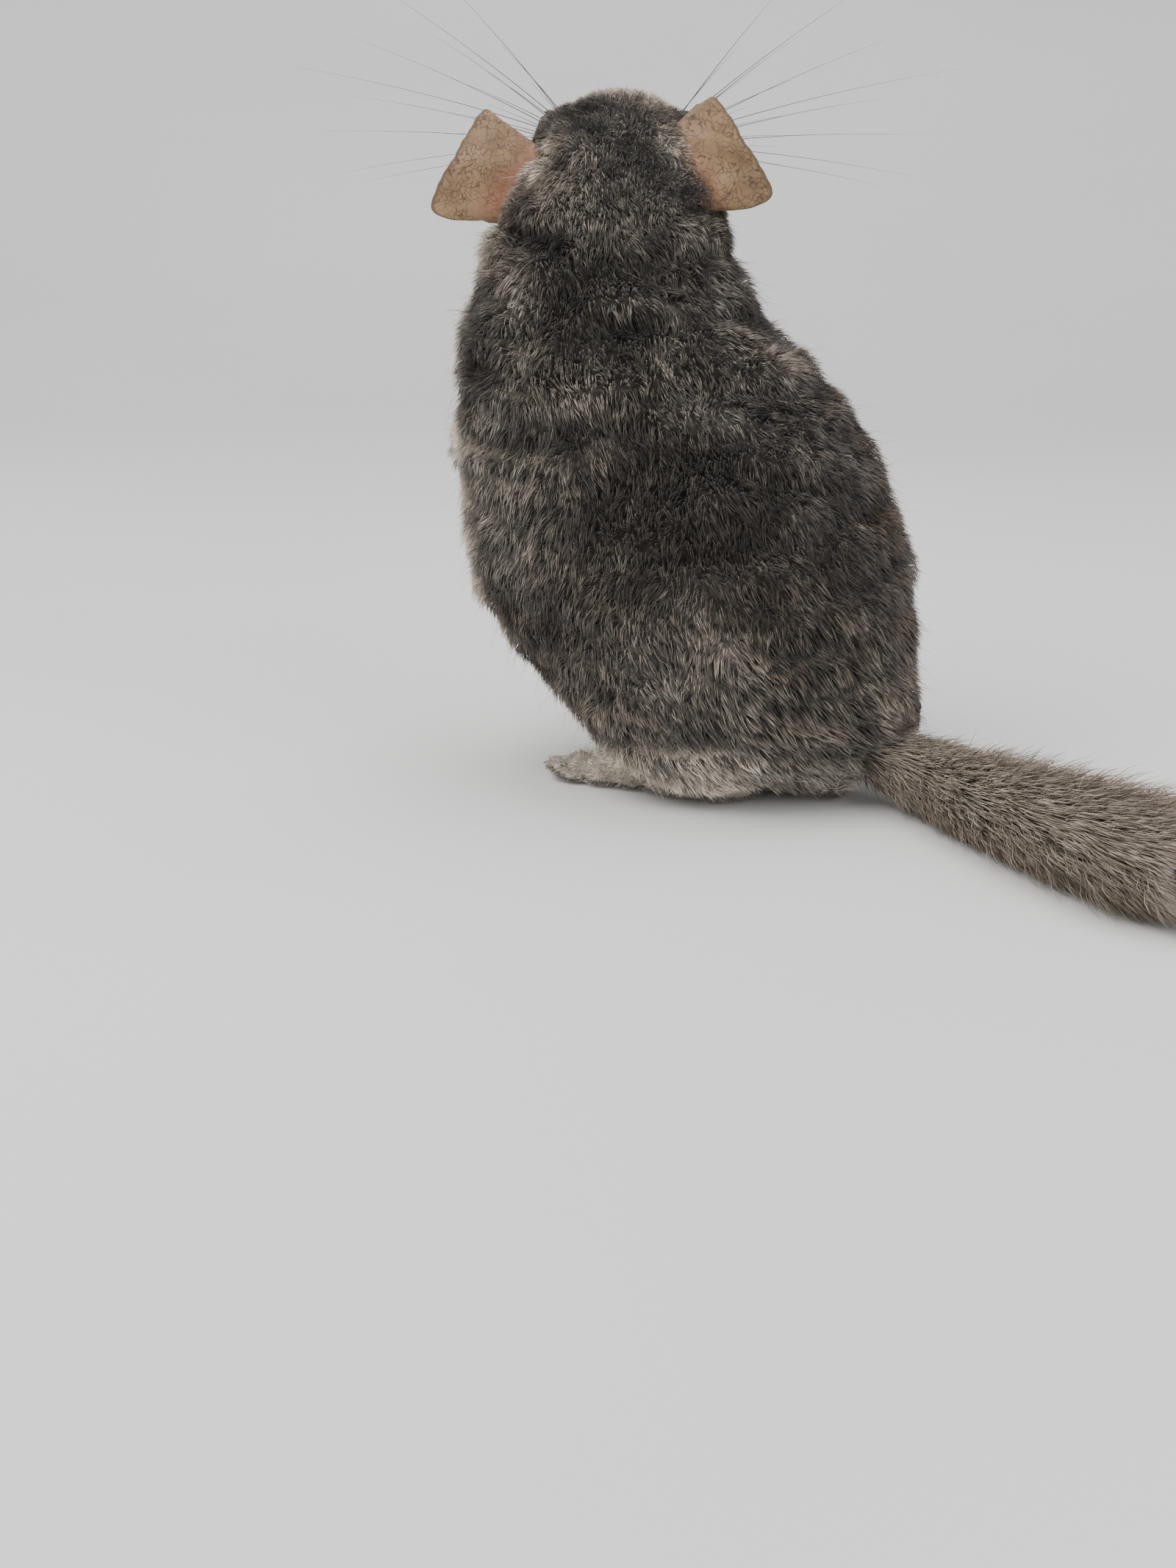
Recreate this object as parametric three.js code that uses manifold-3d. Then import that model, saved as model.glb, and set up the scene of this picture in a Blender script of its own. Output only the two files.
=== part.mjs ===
// A life-size chinchilla sitting up on its haunches, looking up over its right shoulder.
// Millimetres, +Z up. The hips face -Y, the animal's left is +X, and the floor is z = 0.
// The flesh is a few rounded masses blended into one smooth form. Each named piece is that form
// meshed as fine as it needs, and thin cuts part it from its neighbours.

import * as THREE from "three";
import { mergeVertices } from "three/addons/utils/BufferGeometryUtils.js";
import Module from "manifold-3d";

const wasm = await Module();
wasm.setup();

// Driving dimensions
const GAP = 0.3; // clearance between pieces that meet
const FLOOR = 0;
const SHORTEST_EDGE = 0.25;
const BODY_GRAIN = 13.5; // cell of the mesh on the big masses
const HEAD_GRAIN = 6.6;
const MUZZLE_GRAIN = 3.5;
const LIMB_GRAIN = 4.4;
const HEAD_TURN = 70; // degrees that the head looks to the animal's right
const HEAD_LIFT = 32; // degrees that the nose points above level
const CHEST_TURN = 30;
const HEAD_CENTRE = [-2, -38, 191];
const CHEST_CENTRE = [0, -38, 0];
const FOOT_SPREAD = 21.5; // from the middle to the centre line of a hind foot
const EYE_RADIUS = 7;
const EYE_PLACE = [13.5, 21.4, 4.5]; // forward, sideways and up from the middle of the head
const TAIL_PATH = [
  [-3, 50, 15],
  [10, 74, 12.5],
  [29, 97, 13],
  [50, 122, 14.5],
  [72, 150, 16],
  [90, 174, 17],
];
const TAIL_REACH = [10.5, 17.5]; // out to the tips of the hair, near the body and at the brush
const TAIL_CORE = 0.46; // the flesh and the close hair, as a share of that
const LOCK_ROWS = 11;
const LOCKS_AROUND = 6;
const LOCK_SIZE = [28, 9, 1.5]; // length, width and thickness of a lock of hair

const rad = THREE.MathUtils.degToRad;
const mix = (a, b, t) => a + (b - a) * t;
const vec = (a) => new THREE.Vector3(...a);
const list = (v) => [v.x, v.y, v.z];

// A frame of three directions: forward, the animal's left, and up, with its own origin.
function frameAt(origin, turn, lift) {
  const ahead = new THREE.Vector3(-Math.sin(rad(turn)), -Math.cos(rad(turn)), 0);
  const left = new THREE.Vector3(0, 0, 1).cross(ahead);
  const forward = ahead.clone().multiplyScalar(Math.cos(rad(lift)));
  forward.z = Math.sin(rad(lift));
  const up = forward.clone().cross(left);
  const matrix = new THREE.Matrix4().makeBasis(forward, left, up).setPosition(...origin);
  return { matrix, forward, left, up, inverse: matrix.clone().invert() };
}
const placed = (frame, local) => vec(local).applyMatrix4(frame.matrix);

const head = frameAt(HEAD_CENTRE, HEAD_TURN, HEAD_LIFT);
const chest = frameAt(CHEST_CENTRE, CHEST_TURN, 0);
const level = frameAt([0, 0, 0], 0, 0);

// Rounded masses as signed distances

// An egg with its own half-sizes along a frame's forward, left and up.
function egg(frame, centre, half) {
  const m = frame.inverse.elements;
  return (x, y, z) => {
    const f = (m[0] * x + m[4] * y + m[8] * z + m[12] - centre[0]) / half[0];
    const l = (m[1] * x + m[5] * y + m[9] * z + m[13] - centre[1]) / half[1];
    const u = (m[2] * x + m[6] * y + m[10] * z + m[14] - centre[2]) / half[2];
    const k0 = Math.hypot(f, l, u);
    const k1 = Math.hypot(f / half[0], l / half[1], u / half[2]);
    return k0 < 1e-6 ? -Math.min(...half) : (k0 * (k0 - 1)) / k1;
  };
}

// A limb that runs from one point to another and changes thickness on the way.
function limb(frame, from, to, r0, r1) {
  const a = placed(frame, from);
  const d = placed(frame, to).sub(a);
  const long = d.lengthSq();
  return (x, y, z) => {
    const px = x - a.x;
    const py = y - a.y;
    const pz = z - a.z;
    const t = Math.min(1, Math.max(0, (px * d.x + py * d.y + pz * d.z) / long));
    return Math.hypot(px - d.x * t, py - d.y * t, pz - d.z * t) - mix(r0, r1, t);
  };
}

// Joins masses, each with its own width of blend.
const blended = (first, ...rest) => (x, y, z) => {
  let d = first(x, y, z);
  for (const [mass, width] of rest) {
    const e = mass(x, y, z);
    const h = Math.max(width - Math.abs(d - e), 0) / width;
    d = Math.min(d, e) - (h * h * width) / 4;
  }
  return d;
};

// Meshes the surface where a distance is zero, inside a box, by placing one point in each cell
// that the surface crosses and then drawing it on to the surface.
function surface(distance, low, high, cell) {
  const n = low.map((a, i) => Math.ceil((high[i] - a) / cell) + 1);
  const at = (i, j, k) => (k * n[1] + j) * n[0] + i;
  const field = new Float32Array(n[0] * n[1] * n[2]);
  for (let k = 0; k < n[2]; k++)
    for (let j = 0; j < n[1]; j++)
      for (let i = 0; i < n[0]; i++) {
        const edge = [i, j, k].some((v, axis) => v === 0 || v === n[axis] - 1);
        const d = distance(low[0] + i * cell, low[1] + j * cell, low[2] + k * cell);
        field[at(i, j, k)] = edge ? Math.max(d, cell * 0.4) : d;
      }
  const points = [];
  const pointOf = new Map();
  for (let k = 0; k < n[2] - 1; k++)
    for (let j = 0; j < n[1] - 1; j++)
      for (let i = 0; i < n[0] - 1; i++) {
        const sum = [0, 0, 0];
        let crossings = 0;
        for (let corner = 0; corner < 8; corner++)
          for (let axis = 0; axis < 3; axis++) {
            if (corner & (1 << axis)) continue;
            const c = [corner & 1, (corner >> 1) & 1, corner >> 2];
            const e = [...c];
            e[axis] = 1;
            const a = field[at(i + c[0], j + c[1], k + c[2])];
            const b = field[at(i + e[0], j + e[1], k + e[2])];
            if (a < 0 === b < 0) continue;
            const t = a / (a - b);
            for (let s = 0; s < 3; s++) sum[s] += mix(c[s], e[s], t);
            crossings++;
          }
        if (!crossings) continue;
        pointOf.set(at(i, j, k), points.length / 3);
        const cellAt = [i, j, k];
        for (let s = 0; s < 3; s++) points.push(low[s] + (cellAt[s] + sum[s] / crossings) * cell);
      }
  const faces = [];
  const steps = [1, n[0], n[0] * n[1]];
  for (let k = 0; k < n[2] - 1; k++)
    for (let j = 0; j < n[1] - 1; j++)
      for (let i = 0; i < n[0] - 1; i++)
        for (let axis = 0; axis < 3; axis++) {
          if ([i, j, k].some((v, other) => other !== axis && v === 0)) continue;
          const here = at(i, j, k);
          const a = field[here] < 0;
          if (a === field[here + steps[axis]] < 0) continue;
          const u = steps[(axis + 1) % 3];
          const v = steps[(axis + 2) % 3];
          const q = [here - u - v, here - v, here, here - u].map((c) => pointOf.get(c));
          if (!a) q.reverse();
          faces.push(q[0], q[1], q[2], q[0], q[2], q[3]);
        }
  settle(points, distance, cell);
  return solid(points, faces);
}

// Draws each point along the slope of the distance until it lies on the surface.
function settle(points, distance, cell) {
  const h = cell * 0.02;
  for (let i = 0; i < points.length; i += 3)
    for (let round = 0; round < 2; round++) {
      const [x, y, z] = points.slice(i, i + 3);
      const d = distance(x, y, z);
      const slope = new THREE.Vector3(
        distance(x + h, y, z) - d,
        distance(x, y + h, z) - d,
        distance(x, y, z + h) - d,
      ).divideScalar(h);
      if (Math.abs(d) > cell * 0.7 || slope.length() < 0.3) continue;
      slope.multiplyScalar(d / slope.lengthSq());
      points[i] -= slope.x;
      points[i + 1] -= slope.y;
      points[i + 2] -= slope.z;
    }
}

// Solids that can be joined and cut

const solid = (points, faces) =>
  new wasm.Manifold(
    new wasm.Mesh({
      numProp: 3,
      vertProperties: new Float32Array(points),
      triVerts: new Uint32Array(faces),
    }),
  );

function solidOf(geometry, matrix = new THREE.Matrix4()) {
  const bare = geometry.clone().applyMatrix4(matrix);
  bare.deleteAttribute("normal");
  bare.deleteAttribute("uv");
  const merged = mergeVertices(bare, 1e-4);
  return solid(merged.attributes.position.array, merged.index.array);
}

// A closed tube or blade through rings of points, each ring the same length, with a point at
// its far end if the last ring is a single point.
function skinned(rings) {
  const points = rings.flat();
  const sides = rings[0].length;
  const faces = [];
  const centreOf = (ring) => ring.reduce((s, p) => s.map((v, i) => v + p[i] / ring.length), [0, 0, 0]);
  for (let r = 0; r + 1 < rings.length; r++)
    for (let s = 0; s < sides; s++) {
      const a = r * sides + s;
      const b = r * sides + ((s + 1) % sides);
      if (rings[r + 1].length === 1) {
        faces.push(a, b, (r + 1) * sides);
        continue;
      }
      faces.push(a, b, b + sides, a, b + sides, a + sides);
    }
  const caps = [[0, true]];
  if (rings.at(-1).length > 1) caps.push([rings.length - 1, false]);
  for (const [r, near] of caps) {
    const middle = points.push(centreOf(rings[r])) - 1;
    for (let s = 0; s < sides; s++) {
      const a = r * sides + s;
      const b = r * sides + ((s + 1) % sides);
      faces.push(...(near ? [b, a, middle] : [a, b, middle]));
    }
  }
  const made = solid(points.flat(), faces);
  return made.volume() > 0 ? made : solid(points.flat(), faces.reverse());
}

// Cuts leave slivers. Each edge shorter than SHORTEST_EDGE is drawn together to one point, where
// that keeps the surface closed.
function closedUp({ vertProperties, triVerts, numProp }) {
  const count = vertProperties.length / numProp;
  const points = [];
  for (let i = 0; i < count; i++)
    points.push(new THREE.Vector3(...vertProperties.subarray(i * numProp, i * numProp + 3)));
  let faces = [];
  for (let i = 0; i < triVerts.length; i += 3) faces.push([...triVerts.subarray(i, i + 3)]);
  const around = points.map(() => new Set());
  faces.forEach((face, f) => face.forEach((v) => around[v].add(f)));
  const neighbours = (v) => new Set([...around[v]].flatMap((f) => faces[f]).filter((w) => w !== v));
  for (let f = 0; f < faces.length; f++)
    for (let e = 0; e < 3; e++) {
      if (!faces[f]) continue;
      const [a, b] = [faces[f][e], faces[f][(e + 1) % 3]];
      if (points[a].distanceTo(points[b]) > SHORTEST_EDGE) continue;
      const nextToB = neighbours(b);
      if ([...neighbours(a)].filter((v) => nextToB.has(v)).length !== 2) continue;
      for (const g of [...around[b]]) {
        if (faces[g].includes(a)) {
          faces[g].forEach((v) => around[v].delete(g));
          faces[g] = null;
        } else {
          faces[g] = faces[g].map((v) => (v === b ? a : v));
          around[a].add(g);
        }
      }
      around[b].clear();
    }
  faces = faces.filter((face) => face);
  const kept = [...new Set(faces.flat())];
  const placeOf = new Map(kept.map((v, i) => [v, i]));
  return {
    positions: new Float32Array(kept.flatMap((v) => list(points[v]))),
    triangles: new Uint32Array(faces.flat().map((v) => placeOf.get(v))),
  };
}

// Everything on the side of a plane that its normal points to is cut away.
function cutBeyond(body, point, normal) {
  const size = 800;
  const turn = new THREE.Quaternion().setFromUnitVectors(
    new THREE.Vector3(0, 0, 1),
    normal.clone().normalize(),
  );
  const centre = point.clone().addScaledVector(normal.clone().normalize(), size / 2);
  const slab = new THREE.BoxGeometry(size, size, size);
  const matrix = new THREE.Matrix4().compose(centre, turn, new THREE.Vector3(1, 1, 1));
  return body.subtract(solidOf(slab, matrix));
}

const onFloor = (body) =>
  cutBeyond(body, new THREE.Vector3(0, 0, FLOOR), new THREE.Vector3(0, 0, -1));

const largest = (body) =>
  body.decompose().sort((a, b) => b.volume() - a.volume())[0];

// An egg as a faceted solid, grown by a margin.
function eggSolid(frame, centre, half, margin = 0, across = 16, down = 11) {
  const matrix = frame.matrix
    .clone()
    .multiply(new THREE.Matrix4().makeTranslation(...centre))
    .multiply(new THREE.Matrix4().makeScale(...half.map((h) => h + margin)));
  return solidOf(new THREE.SphereGeometry(1, across, down), matrix);
}

// The masses of the body

const haunchEgg = (side) => [
  [-4, side * 32, 46],
  [43, 27, 44],
];
const trunk = blended(
  egg(level, [-8, 0, 58], [60, 50, 62]),
  [egg(level, [22, 0, 78], [60, 47, 58]), 25],
  [egg(level, [-12, 0, 104], [34, 42, 36]), 22],
  [egg(level, [...haunchEgg(1)[0]], haunchEgg(1)[1]), 14],
  [egg(level, [...haunchEgg(-1)[0]], haunchEgg(-1)[1]), 14],
  [egg(level, [-38, 0, 26], [32, 30, 25]), 16],
  [egg(chest, [3, 0, 137], [50, 51, 42]), 30],
  [egg(level, [37, 0, 168], [37, 37, 30]), 22],
  [egg(head, [-2, 0, -1], [30, 28.5, 26]), 14],
);
const skull = blended(
  trunk,
  [egg(head, [10, 0, -4], [24, 26, 21.5]), 10],
  [limb(head, [16, 0, -3], [31, 0, -6.5], 16.5, 10.5), 8],
);
const snout = blended(
  skull,
  [egg(head, [30.5, 6, -8.5], [9.5, 8, 7.5]), 3],
  [egg(head, [30.5, -6, -8.5], [9.5, 8, 7.5]), 3],
);

// A hind foot: a long flat sole with three long toes and a short one.
function hindFoot(side) {
  const x = side * FOOT_SPREAD;
  const heel = limb(level, [-16, x, 8], [16, x, 7.5], 8.5, 8);
  const instep = limb(level, [6, x, 10], [34, x + side * 0.5, 6.5], 8.5, 6.5);
  const toes = [-6, -1.2, 3.8, 7].map((across, i) => [
    limb(
      level,
      [30, x + side * across * 0.7, 5],
      [[46, 51, 49, 40][i], x + side * across, 3.4],
      4.2,
      2.9,
    ),
    2,
  ]);
  return blended(heel, [instep, 6], ...toes);
}

// A foreleg held folded in front of the chest, with its small hand hanging.
function foreLeg(side) {
  const elbow = [34, side * 27, 104];
  const wrist = [58, side * 13, 111];
  return blended(limb(chest, elbow, wrist, 12, 7.2));
}
function forePaw(side) {
  const palm = limb(chest, [58, side * 13, 111], [65, side * 9.5, 104], 5.8, 5.2);
  const fingers = [-4, -1.3, 1.3, 4].map((across) => [
    limb(
      chest,
      [66, side * 9.5 + across * 0.7, 103],
      [69.5, side * 8.5 + across, 94 + Math.abs(across) * 0.5],
      2.1,
      1.5,
    ),
    1.2,
  ]);
  return blended(palm, ...fingers);
}

const grown = (distance, margin) => (x, y, z) => distance(x, y, z) - margin;

// The level box that holds a frame's own box between two opposite corners.
function boxAround(frame, low, high, margin) {
  const box = new THREE.Box3();
  for (let corner = 0; corner < 8; corner++)
    box.expandByPoint(placed(frame, low.map((a, axis) => (corner & (1 << axis) ? high[axis] : a))));
  box.expandByScalar(margin);
  return [list(box.min), list(box.max)];
}

// Ears

const EAR_REACH = 33; // from the root to the corners of the rim
const EAR_BASE = 14; // half the width where the ear leaves the head
const EAR_THICK = 1.3;
const EAR_CUP = 6;
const EAR_ROOT = [-12, 27.5, 4.5]; // forward, sideways and up from the middle of the head
const EAR_TURN = 5; // degrees: the left ear is turned down and the right one up by this much
const EAR_SWEEP = 14; // degrees that an ear leans forward of straight sideways

// One ear as a thin cupped fan. Its rim has a high corner, a far corner and a short lower edge.
function ear(side, margin = 0) {
  const rows = 6;
  const columns = 9;
  const rise = head.forward.clone().multiplyScalar(0.74).addScaledVector(head.up, 0.67).normalize();
  const away = head.forward.clone().multiplyScalar(0.67).addScaledVector(head.up, -0.74);
  const out = head.left
    .clone()
    .multiplyScalar(side * Math.cos(rad(EAR_SWEEP)))
    .addScaledVector(away, Math.sin(rad(EAR_SWEEP)));
  const face = rise.clone().cross(out).multiplyScalar(side);
  const root = placed(head, [EAR_ROOT[0], side * EAR_ROOT[1], EAR_ROOT[2]]);
  const sheet = (t, v, way) => {
    const s = (v + 1) / 2;
    const angle = rad(mix(-50, 72, s) - side * EAR_TURN);
    const hollow = 0.17 * Math.sin(Math.PI * THREE.MathUtils.clamp((s - 0.28) / 0.66, 0, 1));
    const lower = 0.4 * (1 - THREE.MathUtils.smoothstep(s, 0, 0.3));
    const upper = 0.16 * THREE.MathUtils.smoothstep(s, 0.92, 1);
    const reach = EAR_REACH * (1 - hollow - lower - upper) + margin;
    const far = mix(-7, reach * Math.cos(angle), t);
    const high = mix(v * (EAR_BASE + margin), reach * Math.sin(angle), t);
    const cup = EAR_CUP * ((1 - v * v) * (0.4 + 0.6 * t) - 0.5);
    return list(
      root
        .clone()
        .addScaledVector(out, far)
        .addScaledVector(rise, high)
        .addScaledVector(face, cup + way * (EAR_THICK / 2 + margin)),
    );
  };
  const rings = [];
  for (let r = 0; r <= rows; r++) {
    const t = r / rows;
    const ring = [];
    for (let c = 0; c <= columns; c++) ring.push(sheet(t, (c / columns) * 2 - 1, 1));
    for (let c = columns; c >= 0; c--) ring.push(sheet(t, (c / columns) * 2 - 1, -1));
    rings.push(ring);
  }
  return skinned(rings);
}

// Whiskers

const padEgg = (side) => [
  [30.5, side * 9.6, -8.4],
  [6.6, 5.2, 5.4],
];
const WHISKERS = 9;
const WHISKER_THICK = 0.62;

// A whisker is a thin tapered tube that bends a little backwards towards its tip.
function whisker(side, i, margin = 0) {
  const t = i / (WHISKERS - 1);
  const row = i % 3;
  const length = 96 - 34 * Math.abs(t - 0.35) - row * 9;
  const lift = mix(-14, 62, t);
  const way = head.left
    .clone()
    .multiplyScalar(side * Math.cos(rad(lift)))
    .addScaledVector(head.up, Math.sin(rad(lift)) * 0.9)
    .addScaledVector(head.forward, 0.3 - row * 0.14)
    .normalize();
  const [padCentre, padHalf] = padEgg(side);
  const spot = new THREE.Vector3(mix(0.6, -0.5, row / 2), side * 1.3, mix(-0.6, 0.7, t));
  spot.setLength(0.84).multiply(vec(padHalf)).add(vec(padCentre));
  const start = placed(head, list(spot));
  const bend = head.forward.clone().multiplyScalar(-0.16).addScaledVector(head.up, 0.02);
  const steps = 4;
  const rings = [];
  for (let s = 0; s <= steps; s++) {
    const along = s / steps;
    const centre = start
      .clone()
      .addScaledVector(way, -1.6 + along * (length + 1.6))
      .addScaledVector(bend, along * along * length);
    const r = WHISKER_THICK * mix(0.62, 0.3, along) + margin;
    const a = way.clone().cross(head.forward).normalize();
    const b = way.clone().cross(a).normalize();
    const ring = [];
    for (let c = 0; c < 3; c++) {
      const angle = (c / 3) * 2 * Math.PI;
      ring.push(
        list(
          centre
            .clone()
            .addScaledVector(a, r * Math.cos(angle))
            .addScaledVector(b, r * Math.sin(angle)),
        ),
      );
    }
    rings.push(s === steps ? [list(centre)] : ring);
  }
  return skinned(rings);
}


// The tail

const tailCurve = new THREE.CatmullRomCurve3(TAIL_PATH.map(vec));
const TAIL_SIDES = 12;
function tailTube(radiusAt, steps, from = 0, to = 1) {
  const rings = [];
  for (let s = 0; s <= steps; s++) {
    const t = mix(from, to, s / steps);
    const centre = tailCurve.getPoint(t);
    const ahead = tailCurve.getTangent(t);
    const a = ahead.clone().cross(new THREE.Vector3(0, 0, 1)).normalize();
    const b = a.clone().cross(ahead).normalize();
    const r = radiusAt(t);
    const ring = [];
    for (let c = 0; c < TAIL_SIDES; c++) {
      const angle = (c / TAIL_SIDES) * 2 * Math.PI;
      ring.push(
        list(
          centre
            .clone()
            .addScaledVector(a, r * Math.cos(angle))
            .addScaledVector(b, r * Math.sin(angle)),
        ),
      );
    }
    rings.push(ring);
  }
  return skinned(rings);
}
const tailReach = (t) => mix(...TAIL_REACH, Math.min(1, t * 1.5));
const tailCore = (t) => tailReach(t) * TAIL_CORE * Math.sqrt(Math.max(0.1, 1 - Math.max(0, (t - 0.7) / 0.3) ** 2));

// A flat lock of hair that leaves the core, bends to lie along the tail and ends in a point.
function tailLock(t, angle, longer) {
  const ahead = tailCurve.getTangent(t);
  const a = ahead.clone().cross(new THREE.Vector3(0, 0, 1)).normalize();
  const b = a.clone().cross(ahead).normalize();
  const out = a.clone().multiplyScalar(Math.cos(angle)).addScaledVector(b, Math.sin(angle));
  const across = out.clone().cross(ahead).normalize();
  const reach = tailReach(t);
  const root = tailCurve.getPoint(t);
  const [length, width, thick] = LOCK_SIZE;
  const stages = [
    [0, 0.55 * TAIL_CORE, 0.8],
    [0.3, 0.7, 1],
    [0.65, 0.92, 0.72],
    [1, 1, 0],
  ];
  const rings = stages.map(([along, high, share]) => {
    const centre = root
      .clone()
      .addScaledVector(ahead, along * length * longer)
      .addScaledVector(out, high * reach);
    if (share === 0) return [list(centre)];
    const normal = out.clone().addScaledVector(ahead, -0.5).normalize();
    return [[-1, 0], [0, -1], [1, 0], [0, 1]].map(([w, h]) =>
      list(
        centre
          .clone()
          .addScaledVector(across, (w * share * width) / 2)
          .addScaledVector(normal, h * share * thick),
      ),
    );
  });
  return skinned(rings);
}

// The pieces, made in turn and cut clear of one another

const pieces = new Map();

const sides = [
  ["left", 1],
  ["right", -1],
];
const neckTop = { point: placed(head, [-16, 0, -16]), normal: new THREE.Vector3(-0.25, -0.1, 1).normalize() };
const neckBase = { point: new THREE.Vector3(0, -38, 150), normal: new THREE.Vector3(-0.05, -0.12, 1).normalize() };
const snoutBase = { point: placed(head, [22, 0, 0]), normal: head.forward };
const above = (body, { point, normal }) =>
  cutBeyond(body, point.clone().addScaledVector(normal, GAP / 2), normal.clone().negate());
const below = (body, { point, normal }) =>
  cutBeyond(body, point.clone().addScaledVector(normal, -GAP / 2), normal);

let torso = below(surface(trunk, [-75, -100, -10], [75, 90, 176], BODY_GRAIN), neckBase);
torso = onFloor(torso);
let neck = surface(trunk, [-60, -95, 132], [60, 25, 205], BODY_GRAIN * 0.8);
neck = below(above(neck, neckBase), neckTop);
let skullSolid = surface(skull, [-52, -82, 150], [40, 6, 232], HEAD_GRAIN);
skullSolid = below(above(skullSolid, neckTop), snoutBase);
const [snoutLow, snoutHigh] = boxAround(head, [19, -17, -24], [42, 17, 14], 3);
let muzzle = above(surface(snout, snoutLow, snoutHigh, MUZZLE_GRAIN), snoutBase);
muzzle = largest(above(muzzle, neckTop));

// The nose pad, with its two nostrils
const nose = eggSolid(head, [40.6, 0, -4.2], [3.4, 4.4, 3.2], 0, 12, 8);
const nostrils = sides.map(([, side]) => eggSolid(head, [43.2, side * 1.9, -4.6], [1.6, 0.9, 1.2], 0, 8, 6));
pieces.set("nose", nostrils.reduce((body, hole) => body.subtract(hole), nose));
muzzle = muzzle.subtract(eggSolid(head, [40.6, 0, -4.2], [3.4, 4.4, 3.2], GAP, 12, 8));

// The lower jaw, parted from the lips above it along the mouth
const jawShape = blended(
  limb(head, [12, 0, -18], [28, 0, -17], 9.5, 5.6),
);
const mouth = { point: placed(head, [28, 0, -14.2]), normal: placed(head, [-0.18, 0, 1]).sub(placed(head, [0, 0, 0])).normalize() };
const [jawLow, jawHigh] = boxAround(head, [19, -11, -27], [35, 11, -9], 2);
let jaw = surface(jawShape, jawLow, jawHigh, MUZZLE_GRAIN);
jaw = below(above(jaw, snoutBase), mouth);
const jawGrown = surface(grown(jawShape, GAP * 1.8), jawLow, jawHigh, MUZZLE_GRAIN);
muzzle = muzzle.subtract(below(jawGrown, { point: mouth.point.clone().addScaledVector(mouth.normal, GAP), normal: mouth.normal }));

for (const [name, side] of sides) {
  // Eye, and the two lids round it
  const eye = [EYE_PLACE[0], side * EYE_PLACE[1], EYE_PLACE[2]];
  const round = [EYE_RADIUS, EYE_RADIUS, EYE_RADIUS];
  pieces.set("eye_" + name, eggSolid(head, eye, round, 0, 14, 9));
  const outward = placed(head, [0.28, side, 0.12]).sub(placed(head, [0, 0, 0])).normalize();
  const turn = new THREE.Quaternion().setFromUnitVectors(new THREE.Vector3(0, 0, 1), outward);
  const rim = placed(head, eye).addScaledVector(outward, 2.6);
  const lids = solidOf(
    new THREE.TorusGeometry(EYE_RADIUS - 0.5, 1.5, 5, 16),
    new THREE.Matrix4().compose(rim, turn, new THREE.Vector3(1, 1, 1)),
  );
  skullSolid = skullSolid.add(lids).subtract(eggSolid(head, eye, round, GAP, 14, 9));

  // Ear
  pieces.set("ear_" + name, largest(ear(side)));
  skullSolid = skullSolid.subtract(ear(side, GAP));
  neck = neck.subtract(ear(side, GAP));

  // Whisker pad with its whiskers
  const [padCentre, padHalf] = padEgg(side);
  let pad = eggSolid(head, padCentre, padHalf, 0, 12, 9).subtract(jawGrown);
  for (let i = 0; i < WHISKERS; i++) pad = pad.add(whisker(side, i));
  pieces.set("whiskers_" + name, largest(pad));
  muzzle = muzzle.subtract(eggSolid(head, padCentre, padHalf, GAP, 12, 9));
  for (let i = 0; i < WHISKERS; i++) {
    const room = whisker(side, i, GAP * 1.6);
    muzzle = muzzle.subtract(room);
    skullSolid = skullSolid.subtract(room);
  }

  // Foreleg and hand
  const armBox = boxAround(chest, [34, side * 27, 104], [58, side * 13, 111], 15);
  const armShape = foreLeg(side);
  const pawShape = forePaw(side);
  const wrist = {
    point: placed(chest, [58.5, side * 12.8, 110]),
    normal: placed(chest, [7, -side * 3.5, -7]).sub(placed(chest, [0, 0, 0])).normalize(),
  };
  pieces.set("foreleg_" + name, largest(below(surface(armShape, ...armBox, LIMB_GRAIN * 1.3), wrist)));
  pieces.set("hand_" + name, largest(above(surface(pawShape, ...boxAround(chest, [58, side * 13, 111], [69, side * 9, 94], 8), LIMB_GRAIN * 0.6), wrist)));
  torso = torso.subtract(surface(grown(armShape, GAP + 0.2), ...armBox, LIMB_GRAIN * 1.3));

  // Haunch and hind foot
  const footBox = [
    [side * FOOT_SPREAD - 16, -60, -8],
    [side * FOOT_SPREAD + 16, 34, 26],
  ];
  const footShape = hindFoot(side);
  const foot = onFloor(surface(footShape, ...footBox, LIMB_GRAIN));
  pieces.set("hind_foot_" + name, largest(foot));
  const footHole = surface(grown(footShape, GAP + 0.2), ...footBox, LIMB_GRAIN);
  const [haunchCentre, haunchHalf] = haunchEgg(side);
  const outer = [haunchCentre[0], haunchCentre[1] + side * 6, haunchCentre[2] - 1];
  const haunchCut = eggSolid(level, outer, haunchHalf, -2);
  const haunchHole = eggSolid(level, outer, haunchHalf, -2 + GAP);
  const haunch = torso.intersect(haunchCut).subtract(footHole);
  pieces.set("haunch_" + name, largest(haunch));
  torso = torso.subtract(haunchHole).subtract(footHole);
}

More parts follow.
